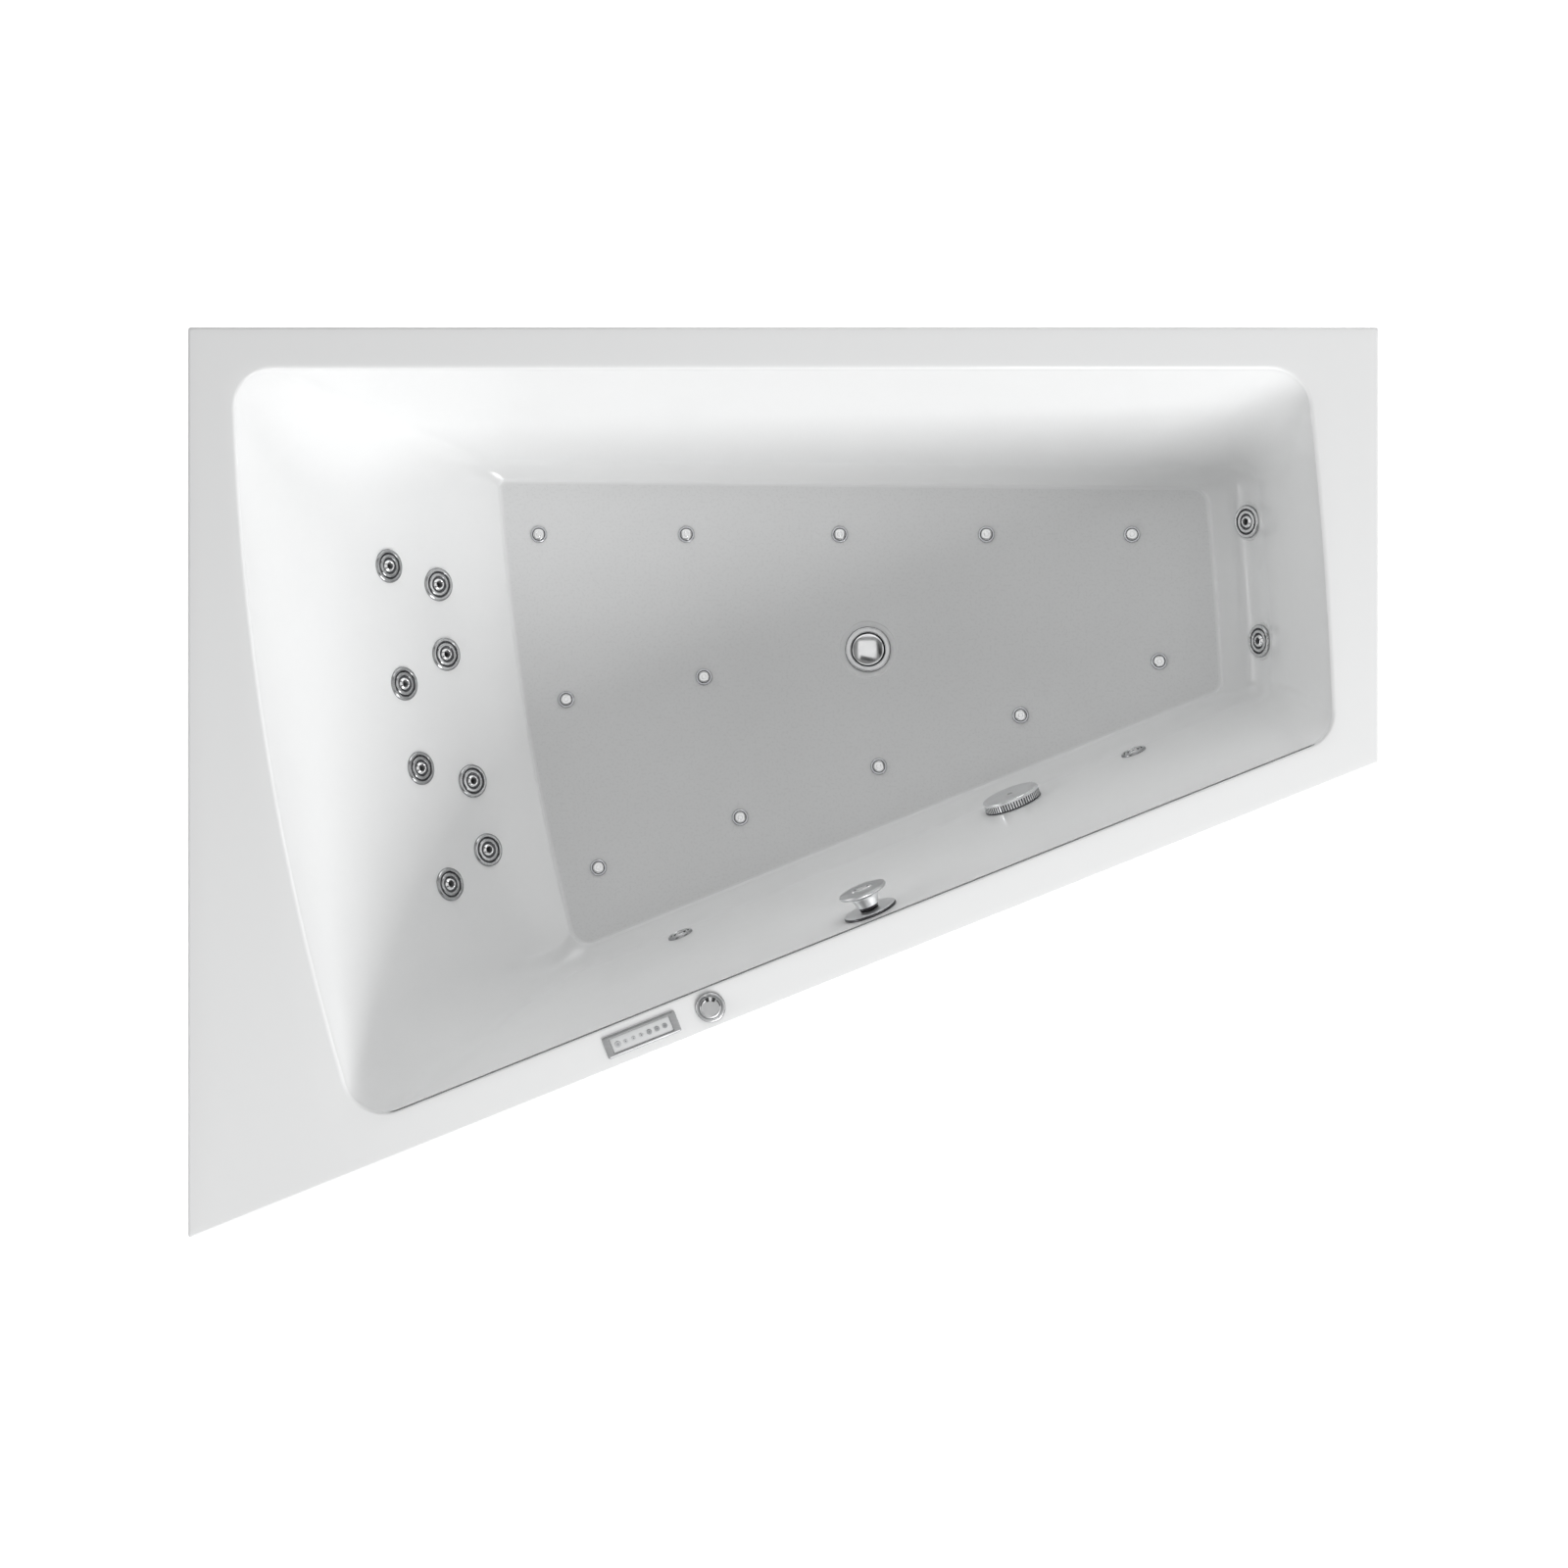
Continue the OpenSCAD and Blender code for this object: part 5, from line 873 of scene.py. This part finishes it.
def groove_of(r, ball, base):
    """A test for the faces of the groove between the rings and of the recess round the ball, which
    are painted dark as shade.
    """
    def inside(d, h):
        in_groove = r * 0.69 < d < r * 0.765 and h < base + 3.4
        in_recess = d < 12.75 * ball / 12 and h < base + 3.5
        return h > base - 9 and (in_groove or in_recess)
    return inside


# Each row: name, seats, flange radius, ball radius, base height, plating, test of edge faces painted
# darker as shade.
jets = [
    ("back", back_seats, 26, 12.0, -1.0, ring_plating_and_edge_shade, None),
    ("foot", foot_seats, 26, 12.0, 3.5, pale_plating, lambda d, h: d > 24.6 or 16.4 < d < 18.2),
    ("side", side_seats, 20, 9.5, -0.5, pale_plating, lambda d, h: d > 18.4),
]
for kind, seats, r, ball, base, metal, edge_shade_test in jets:
    flange = lathe(kind + "_jet_flanges", flange_profile(r, ball) + [0, base], seats, metal, 0.45)
    # Painted shade: edge faces take the darker plating, and the groove and recess the near-black
    # finish.
    if edge_shade_test:
        toned(flange, seats, ring_plating_and_edge_shade, edge_shade_test)
    toned(flange, seats, painted_shade_dark, groove_of(r, ball, base))
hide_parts("jet_trims")

# %% [markdown]
# The nozzle is a ball with a flared bore. Each one rides on its own body, so it can be aimed. Its
# plating is lighter than the flange's, and the inside of the bore is grey plastic.

# %% Nozzles
# Near-black plastic for the overflow control's screw holes, also laid as painted shade on the floors
# of the air knob's notches.
screw_black_and_notch_shade = finish("screw_black_and_notch_shade", [(0.09, 0.09, 0.095), (0.07, 0.07, 0.07)], (0.4, 0.5),
                      (60, 600), relief=0.1)
bore_grey = finish("bore_grey", [(0.30, 0.30, 0.305), (0.25, 0.25, 0.255)], (0.35, 0.45),
                   (60, 600), relief=0.1)
flat_share = 0.83


def make_nozzle(seat, base, ball, name):
    """A ball cut flat in front and behind, bored through: a spherical outside from face to
    back, then the flared mouth and the straight bore."""
    centre = moved(seat, z=base - ball / 3)
    cap = math.asin(flat_share)
    arc = np.linspace(-cap, cap, 15)
    shell_line = np.stack([ball * np.cos(arc), ball * np.sin(arc)], 1)
    face = ball * flat_share
    mouth = rounded([shell_line[-1], [ball * 0.53, face], [ball * 0.47, face - 0.5],
                     [ball * 0.4, face - 2.2], [ball * 0.375, face - 4.5],
                     [ball * 0.375, -face]], 0.25)
    profile = np.vstack([shell_line[:-1], mouth])
    piece = lathe(name + "_ball", profile, [centre], nozzle_chrome, segments=48, body=name)
    toned(piece, [centre], bore_grey, lambda d, h: d < ball * 0.455 and h < face - 0.6)
    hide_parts(name)


for kind, seats, _, ball, base, _, _ in jets:
    for k, seat in enumerate(seats):
        make_nozzle(seat, base, ball, "%s_nozzle_%d" % (kind, k + 1))
print("nozzles", sum(len(jet[1]) for jet in jets))

# %% [markdown]
# The foot wall is curved where its two jets sit, so the mould has a low flat boss under each. It
# is acrylic too, a ring whose foot flares out into the wall.

# %% Bosses under the foot jets
boss = [[19.6, 3.4], [28.3, 3.5], [29.0, 2.9], [29.6, 0.2], [31.4, -3.5], [33.5, -7.0], [19.6, -7.0]]
bosses = lathe("foot_jet_bosses", boss, foot_seats, acrylic, 0.9, slot="acrylic")
print("bosses", len(bosses.data.polygons))

# %% [markdown]
# ## Air injectors
# Twelve small plated fittings let air through the floor. A ring stands round a domed cap, and air
# comes out under the cap's edge and through six fine holes.


# %% Injectors
def drilled(piece, holes, radius, low, high, segments=14):
    """Holes of one radius, from one height to another, along each seat's axis."""
    cut_away(piece, *turned([[0, low], [radius, low], [radius, high], [0, high]], holes, segments))


def around(seat, radius, count):
    """Seats on a circle round a seat's axis, all facing the same way."""
    return [moved(seat, radius * math.cos(t), radius * math.sin(t))
            for t in np.linspace(0, 2 * math.pi, count, endpoint=False)]


white_plastic = finish("white_moulding", [(0.80, 0.81, 0.81), (0.74, 0.75, 0.75)], (0.32, 0.42),
                       (12, 350), relief=0.12)
injector_rings = lathe("injector_bodies", [
    [2.5, -63.5], [4.5, -63.5], [4.5, -58], [5.8, -58], [5.8, -0.2], [13.0, -0.2], [13.0, 0.9],
    [12.2, 2.2], [11.5, 2.5], [10.0, 2.5], [9.4, 1.9], [9.4, 1.0], [2.5, 1.0],
], injector_seats, chrome, 0.35, segments=48, slot="white_pipe")
toned(injector_rings, injector_seats, white_plastic, lambda d, h: h < -0.5)
# Painted shade: the gap round the cap and the ring's outer edge take the near-black finish.
toned(injector_rings, injector_seats, painted_shade_dark,
      lambda d, h: h > -0.5 and (9.2 < d < 10.2 or d > 12.6))
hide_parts("air_injector_bodies")
caps = lathe("injector_caps", [
    [0, 1.0], [8.95, 1.0], [8.95, 2.5], [8.3, 3.5], [6.6, 4.0], [4.1, 4.1], [3.7, 3.8],
    [3.2, 4.15], [0, 4.3],
], injector_seats, nozzle_chrome, 0.35, segments=48)
drilled(caps, [h for s in injector_seats for h in around(s, 4.95, 6)], 0.8, 2.0, 6.0)
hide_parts("air_injector_caps")
print("injector faces", len(injector_rings.data.polygons), len(caps.data.polygons))

# %% [markdown]
# ## Waste
# The waste is a plated ring in a shallow recess with a domed plug that pops up. The plug rides on
# its own body, and a black seal shows round it when it is lifted.

# %% Waste ring and plug
rubber = finish("black_rubber", [(0.035, 0.035, 0.037), (0.05, 0.05, 0.05)], (0.55, 0.7),
                (20, 260), relief=0.3)
waste_ring = lathe("waste_ring", [
    [25.6, -32], [29.95, -32], [29.95, -1.5], [35.75, -1.5], [35.75, -0.5], [34.6, 0.5],
    [32.0, 1.0], [28.4, 1.0], [27.0, 0.4], [26.6, -0.6], [26.5, -4.0], [22.0, -4.0],
    [22.0, -9.0], [25.6, -9.5],
], [waste_seat], pale_plating, 0.5, segments=96)
# Painted shade: the near-black finish along the ring's outer edge and its inner edge and bore by the
# plug.
toned(waste_ring, [waste_seat], painted_shade_dark, lambda d, h: h > -1.6 and d > 34.9 or d < 27.3)
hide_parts("waste_flange")
dome = [[r, 5.0 - r * r / 124] for r in np.linspace(23, 0, 14)]
plug = lathe("plug_head", [
    [0, -45], [3, -45], [3, -6], [15, -6], [17.5, -4.0], [24.3, -3.9], [25, -3.2], [25, -0.6],
    [24.5, 0.0],
] + dome, [waste_seat], nozzle_chrome, 0.8, segments=96, body="plug")
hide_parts("waste_plug")
seal = [[23.0, -3.4], [25.3, -3.2], [25.9, -2.6], [25.3, -2.0], [23.0, -2.2]]
lathe("plug_seal", seal, [waste_seat], rubber, 0.3, segments=72, body="plug")
print("waste", len(waste_ring.data.polygons), len(plug.data.polygons))

# %% [markdown]
# ## Overflow
# A plated disc lies against the front wall, and a turning control stands off it on a flared neck.
# The control's face has an oval boss with two dark screw holes. Seen from above it is the neck
# that shows most: its flare takes a brighter plating as a painted highlight and its foot the
# near-black finish as painted shade. The ring's outer edge is painted dark as shade.

# %% Overflow ring and control
overflow_ring = lathe("overflow_ring", [
    [13.6, 4.1], [20.0, 3.2], [26.0, -0.2], [39.6, -0.2], [39.6, 2.2], [38.6, 4.0],
    [37.0, 4.65], [33.5, 4.65], [32.6, 4.45], [13.6, 4.4],
], [overflow_seat], bright_satin_and_highlight, 0.15, segments=96)
# Painted shade along the ring's outer edge.
toned(overflow_ring, [overflow_seat], painted_shade_dark, lambda d, h: d > 38.7)
control = lathe("overflow_knob_face", [
    [0, -15], [5, -15], [5, 5.5], [13.0, 5.5], [13.9, 6.6], [15.6, 11.0], [18.0, 17.5],
    [20.2, 23.0], [22.4, 26.4], [30.0, 28.6], [34.4, 30.2], [35.4, 31.4], [35.5, 33.4],
    [34.9, 35.0], [33.6, 35.5], [0, 35.55],
], [overflow_seat], satin_plating, 1.0, 4, segments=96, body="overflow_knob")
# Painted highlight on the neck's flare in the brighter plating, painted shade at its foot in the
# near-black finish.
toned(control, [overflow_seat], bright_satin_and_highlight, lambda d, h: 9.5 < h < 26.4 and d > 6)
toned(control, [overflow_seat], painted_shade_dark, lambda d, h: h <= 9.5 and d > 6)


def oval_boss(seat, length, width, low, high, round_over):
    """A low oval boss: superellipse rings |x/a|^n + |y/b|^n = 1, drawn in at the top by a
    quarter round, closed by a fan."""
    t = np.linspace(0, 2 * math.pi, 72, endpoint=False)
    power = 2 / 2.6
    outline_x = np.sign(np.cos(t)) * np.abs(np.cos(t)) ** power
    outline_y = np.sign(np.sin(t)) * np.abs(np.sin(t)) ** power
    levels = [(0, low)] + [(round_over * (1 - math.cos(a)), high - round_over * (1 - math.sin(a)))
                           for a in np.radians([0, 22, 45, 68, 90])]
    loops = [np.stack([(length / 2 - d) * outline_x, (width / 2 - d) * outline_y,
                       np.full(len(t), z)], 1) for d, z in levels]
    n = len(t)
    faces = grid_faces(len(levels), n)
    faces += [[j, (j + 1) % n, n * len(levels)] for j in range(n)]
    last = n * (len(levels) - 1)
    faces += [[last + (j + 1) % n, last + j, n * len(levels) + 1] for j in range(n)]
    return placed(seat, np.concatenate(loops + [np.array([[0, 0, low], [0, 0, high]])])), faces


knob_boss = mesh_piece("overflow_knob_boss", *oval_boss(overflow_seat, 31, 15, 34.5, 37.0, 0.9),
                       [nozzle_chrome], body="overflow_knob")
eyes_at = [moved(overflow_seat, x) for x in (-9.5, 9.5)]
drilled(knob_boss, eyes_at, 2.3, 35.6, 40, segments=24)
eye = [[0, 35.4], [2.25, 35.4], [2.25, 35.75], [1.2, 35.6], [0, 35.65]]
lathe("overflow_knob_screws", eye, eyes_at, screw_black_and_notch_shade, segments=24, body="overflow_knob")
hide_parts("overflow_control")
print("overflow", len(control.data.polygons), len(knob_boss.data.polygons))

# %% [markdown]
# ## Suction cover
# The pump draws through a drum on the front wall. Its face is plain but for a small screw, and
# water goes in through a comb of narrow slots round its side. The wall behind the slots and a band
# round the drum's foot are near-black, painted shade.

# %% Suction drum
comb_teeth, comb_gap = 64, 0.5
tooth_half = 180 / comb_teeth * (1 - comb_gap)
comb = mesh_piece("suction_comb", *joined(
    arc_block(suction_seat, 42.4, 44.6, 2.0, 12.6, a - tooth_half, a + tooth_half, 2)
    for a in np.linspace(0, 360, comb_teeth, endpoint=False)), [nozzle_chrome])
drum_inside = [[41.2, 2.2], [42.6, 2.2], [42.6, 12.4], [41.2, 12.4]]
# Painted shade: a near-black wall behind the slots.
lathe("suction_inside", drum_inside, [suction_seat], painted_shade_dark, 0.2, segments=96)
drum_face = lathe("suction_face", [
    [0, 13.0], [41.0, 13.0], [41.2, 12.2], [44.8, 12.2], [45.0, 13.2], [44.9, 15.6],
    [44.2, 16.9], [42.4, 17.45], [7.2, 17.5], [6.6, 16.9], [4.3, 16.7], [0, 16.7],
], [suction_seat], bright_satin_and_highlight, 0.6, 4, segments=96)
toned(drum_face, [suction_seat], nozzle_chrome, lambda d, h: d > 42.2 and h > 16)
drum_foot = [[40.8, 0.2], [45.0, 0.2], [45.0, 2.4], [40.8, 2.4]]
# Painted shade: a near-black band round the drum's foot.
lathe("suction_foot", drum_foot, [suction_seat], painted_shade_dark, 0.4, segments=96)
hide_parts("suction_cover")
print("suction", len(comb.data.polygons), len(drum_face.data.polygons))

# %% [markdown]
# ## Air control
# A knob on the front rim opens the air line to the jets. A plated ring stands on the rim, the
# knob turns in it, and a light pointer lies between two finger notches. A thin arc groove runs on
# from each notch. The floors of notches and arcs are near-black pieces, painted shade, and the
# ring's outer edge is painted dark as shade.

# %% Air control ring and knob
air_ring = lathe("air_control_ring", [
    [6.2, -70], [7, -74], [7, -60], [13, -60], [13, -0.1], [21.5, -0.1], [21.5, 1.3],
    [21.2, 2.4], [20.2, 3.6], [18.9, 4.0], [17.8, 3.8], [16.9, 3.0], [16.2, 2.0], [6.2, 2.0],
], [air_seat], satin_plating, 0.4, segments=80)
toned(air_ring, [air_seat], white_plastic, lambda d, h: h < -1)
# Painted shade along the ring's outer edge.
toned(air_ring, [air_seat], painted_shade_dark, lambda d, h: d > 21 and h > -1)
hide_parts("air_control_body")

knob = lathe("air_knob_disc", [
    [0, -20], [5.9, -20], [5.9, 2.15], [15.0, 2.15], [15.0, 7.2], [14.6, 8.4], [13.6, 9.0],
    [12.2, 9.0], [11.8, 8.6], [0, 8.6],
], [air_seat], satin_plating, 0.5, 4, segments=80, body="air_knob")
# Each row: inner radius, outer radius, floor height, start angle, end angle.
notches = [(9.0, 17, 5.4, 79, 103), (9.0, 17, 5.4, 35, 59), (13.0, 14.6, 7.2, 108, 150),
           (13.0, 14.6, 7.2, -12, 30)]
for r_in, r_out, low, start, end in notches:
    cut_away(knob, *arc_block(air_seat, r_in, r_out, low, 12, start, end))
knob_r = 15
# Painted shade: near-black floors laid in the notches and arcs.
notch_shade_floors = joined(
    arc_block(air_seat, r_in + 0.05, min(r_out, knob_r) - 0.05, low - 0.1, low + 0.2,
              start + 0.4, end - 0.4)
    for r_in, r_out, low, start, end in notches)
mesh_piece("air_knob_notch_shade", *notch_shade_floors, [screw_black_and_notch_shade], body="air_knob")
pointer = mesh_piece("air_knob_pointer", *arc_block(air_seat, 9.8, 14.6, 8.3, 8.97, 64, 74, 6),
                     [nozzle_chrome], body="air_knob")
soften = pointer.modifiers.new("soften", "BEVEL")
soften.width, soften.segments = 0.0004, 2
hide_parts("air_control_knob")
print("air control", len(knob.data.polygons))

# %% [markdown]
# ## Keypad
# The keypad is a low plated frame with sloping sides, a white face plate inside it and seven round
# keys of three sizes. The frame and the plate are stacks of rounded rectangles. Keys carry plain
# dots, the general signs of such pads, and nothing that could be read.


# %% Keypad frame and plate
def rect_loop(length, width, radius, z, steps=6):
    """A rounded rectangle as one loop: four quarter circles, one at each corner."""
    corners = []
    for k, (sx, sy) in enumerate(((1, 1), (-1, 1), (-1, -1), (1, -1))):
        turn = np.radians(np.linspace(0, 90, steps)) + math.pi / 2 * k
        centre = np.array([sx * (length / 2 - radius), sy * (width / 2 - radius)])
        corners.append(centre + radius * np.stack([np.cos(turn), np.sin(turn)], 1))
    return np.column_stack([np.concatenate(corners), np.full(4 * steps, z)])


def rect_stack(seat, levels, closed=False):
    """Loops of rounded rectangles, one for each length, width, radius and height, joined; the
    ends are closed by flat faces unless the stack closes on itself."""
    loops = [rect_loop(*level) for level in levels]
    n = len(loops[0])
    faces = grid_faces(len(levels), n, closed_levels=closed)
    if not closed:
        faces += [list(range(n))[::-1], [n * (len(levels) - 1) + j for j in range(n)]]
    return placed(seat, np.concatenate(loops)), faces


frame_metal = plating("brushed_frame", 0.44, 0.39, (0.42, 0.55), (30, 500), 0.06, metallic=0.6,
                      stretch=(1, 8, 8))
pad_frame = mesh_piece("keypad_surround", *rect_stack(keypad_seat, [
    (112, 32, 3, 0), (112, 32, 3, 1.1), (111.2, 31.2, 2.8, 1.9), (108.4, 28.2, 2.2, 3.0),
    (107.0, 26.8, 2.0, 3.4), (105.6, 25.6, 2.0, 3.5), (93.6, 24.0, 1.8, 3.5),
    (92.4, 23.2, 1.6, 3.35), (91.6, 22.6, 1.4, 2.9), (91.2, 22.2, 1.2, 2.2),
    (91.2, 22.2, 1.2, 0),
], closed=True), [frame_metal], sharp=pad_fold)
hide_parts("keypad_frame")

plate_white = finish("keypad_membrane", [(0.78, 0.79, 0.79), (0.75, 0.76, 0.765)], (0.3, 0.38),
                     (40, 900), relief=0.06)
plate = mesh_piece("keypad_plate", *rect_stack(keypad_seat, [
    (100, 24, 1, -26), (100, 24, 1, -0.3), (90.7, 21.7, 1.1, -0.3), (90.7, 21.7, 1.1, 1.7),
    (90.4, 21.4, 1.0, 2.05), (89.8, 20.8, 0.8, 2.2),
]), [plate_white], slot="keypad_plate", sharp=pad_fold)
key_radii = [4.4, 2.7, 2.7, 2.7, 3.7, 3.7, 3.7]
key_pitch = 12
key_seats = [moved(keypad_seat, key_pitch * (k - 3)) for k in range(7)]
for seat, r in zip(key_seats, key_radii):
    drilled(plate, [seat], r + 1.3, -5, 1.2, segments=32)
    drilled(plate, [seat], r + 0.15, -5, 6, segments=48)
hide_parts("keypad_housing")
print("keypad", len(plate.data.polygons))

# %% Keys
key_grey = finish("key_grey", [(0.42, 0.43, 0.44), (0.38, 0.39, 0.40)], (0.3, 0.4), (60, 900),
                  relief=0.06)
key_pale = finish("key_pale", [(0.62, 0.63, 0.64), (0.58, 0.59, 0.60)], (0.3, 0.4), (60, 900),
                  relief=0.06)
key_dark = finish("key_dark", [(0.27, 0.275, 0.28), (0.24, 0.245, 0.25)], (0.35, 0.45),
                  (60, 900), relief=0.06)
key_tones = [key_pale] * 4 + [key_grey] * 3
dot_tones = [key_grey] + [key_dark] * 6
for k, (seat, r) in enumerate(zip(key_seats, key_radii)):
    body = "keypad_button_%d" % (k + 1)
    key = lathe(body + "_cap", [
        [0, -2.3], [1, -2.3], [1, 0.1], [r + 1, 0.1], [r + 1, 0.95], [r, 0.95], [r, 2.6],
        [r * 0.93, 3.0], [r * 0.6, 2.92], [0, 2.85],
    ], [seat], key_tones[k], 0.25, segments=40, body=body, slot="button_plastic")
    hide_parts(body)
    dot_r = r * (0.5 if k in (0, 6) else 0.34)
    lathe(body + "_sign", [
        [0, 2.6], [dot_r, 2.6], [dot_r, 3.0], [dot_r * 0.7, 3.0], [dot_r * 0.6, 2.95], [0, 2.95],
    ], [seat], dot_tones[k], 0.08, segments=24, body=body, slot="button_plastic")
print("keys", len(key_seats))

# %% [markdown]
# ## Working finishes
# Under the rim nothing is polished. The frame is powder coated, its feet are zinc plated, pipes
# are white extruded tube and the base is raw particle board. Each kind of finish is one material,
# and every CAD piece takes the one that its slot in the record names.

# %% Finishes by slot
slot_finish = {
    "acrylic": acrylic,
    "board": finish("particle_board", [(0.50, 0.36, 0.21), (0.36, 0.25, 0.14)], (0.65, 0.8),
                    (90, 700), relief=0.5, depth=0.0006),
    "frame_steel": finish("powder_coat", [(0.035, 0.037, 0.04), (0.028, 0.03, 0.032)],
                          (0.42, 0.52), (9, 1400), relief=0.25),
    "zinc_steel": finish("zinc_plating", [(0.55, 0.56, 0.55), (0.42, 0.43, 0.43)], (0.28, 0.42),
                         (60, 900), relief=0.1, metallic=1.0),
    "stainless": finish("stainless_steel", [(0.56, 0.56, 0.55), (0.50, 0.50, 0.49)],
                        (0.22, 0.32), (40, 1200), relief=0.08, metallic=1.0, stretch=(1, 1, 6)),
    "pad_rubber": rubber,
    "gasket_rubber": rubber,
    "chrome": chrome,
    "white_pipe": white_plastic,
    "black_plastic": finish("black_moulding", [(0.03, 0.03, 0.033), (0.022, 0.022, 0.024)],
                            (0.38, 0.5), (25, 800), relief=0.25),
    "grey_plastic": finish("grey_moulding", [(0.30, 0.31, 0.32), (0.26, 0.27, 0.28)],
                           (0.4, 0.52), (25, 800), relief=0.25),
    "black_sleeve": finish("cable_sleeve", [(0.02, 0.02, 0.021), (0.03, 0.03, 0.03)],
                           (0.35, 0.45), (40, 500), relief=0.1),
    "clear_hose": finish("milky_hose", [(0.62, 0.66, 0.68), (0.54, 0.58, 0.61)], (0.22, 0.32),
                         (30, 300), relief=0.1),
    "keypad_plate": plate_white,
    "button_plastic": key_grey,
    "motor_paint": finish("motor_enamel", [(0.035, 0.045, 0.075), (0.028, 0.036, 0.06)],
                          (0.28, 0.38), (20, 600), relief=0.15),
}
for row in frame["record"]["subparts"]:
    mesh = nodes[row["node"]].data
    mesh.materials.clear()
    mesh.materials.append(slot_finish[row["material_slot"]])
print("finishes", len(slot_finish))

# %% [markdown]
# The control box gets a lid that overlaps its walls, with a screw in each corner and a row of
# cooling ribs. Its place comes from the box of the CAD node, so it follows a change of the part.

# %% Lid of the control box
box_node = nodes["control_box"]
box_points = np.array([box_node.matrix_world @ v.co for v in box_node.data.vertices]) * 1000
low, high = box_points.min(0), box_points.max(0)
long_side, short_side = high[:2] - low[:2]
lid_seat = level_seat(*(low[:2] + high[:2]) / 2, high[2])
# Each row: how much longer than the box, corner radius, height over the box.
lid_levels = [(3, 3, -16), (3, 3, 1.2), (1.6, 2.4, 2.0), (-20, 2, 2.0), (-22, 2, 3.2), (-24, 2, 3.2)]
lid = rect_stack(lid_seat, [(long_side + d, short_side + d, r, z) for d, r, z in lid_levels])
grey_plastic = slot_finish["grey_plastic"]
mesh_piece("control_box_lid", *lid, [grey_plastic], slot="grey_plastic", sharp=pad_fold)
screw = [[0, 1.6], [4.2, 1.6], [4.2, 2.9], [3.4, 3.7], [1.6, 3.8], [1.2, 2.7], [0, 2.6]]
screw_inset = 6
screw_seats = [moved(lid_seat, x * (long_side / 2 - screw_inset), y * (short_side / 2 - screw_inset))
               for x in (-1, 1) for y in (-1, 1)]
lathe("control_box_lid_screws", screw, screw_seats, slot_finish["zinc_steel"], 0.3, segments=24,
      slot="zinc_steel")
rib_w = short_side - 50
ribs = joined(
    rect_stack(moved(lid_seat, (k - 3) * long_side / 12),
               [(4, rib_w, 1.8, 3.0), (4, rib_w, 1.8, 5.0), (2.6, rib_w - 2, 1.2, 5.8)])
    for k in range(7))
mesh_piece("control_box_ribs", *ribs, [grey_plastic], slot="grey_plastic", sharp=pad_fold)
print("control box", long_side.round(1), short_side.round(1))
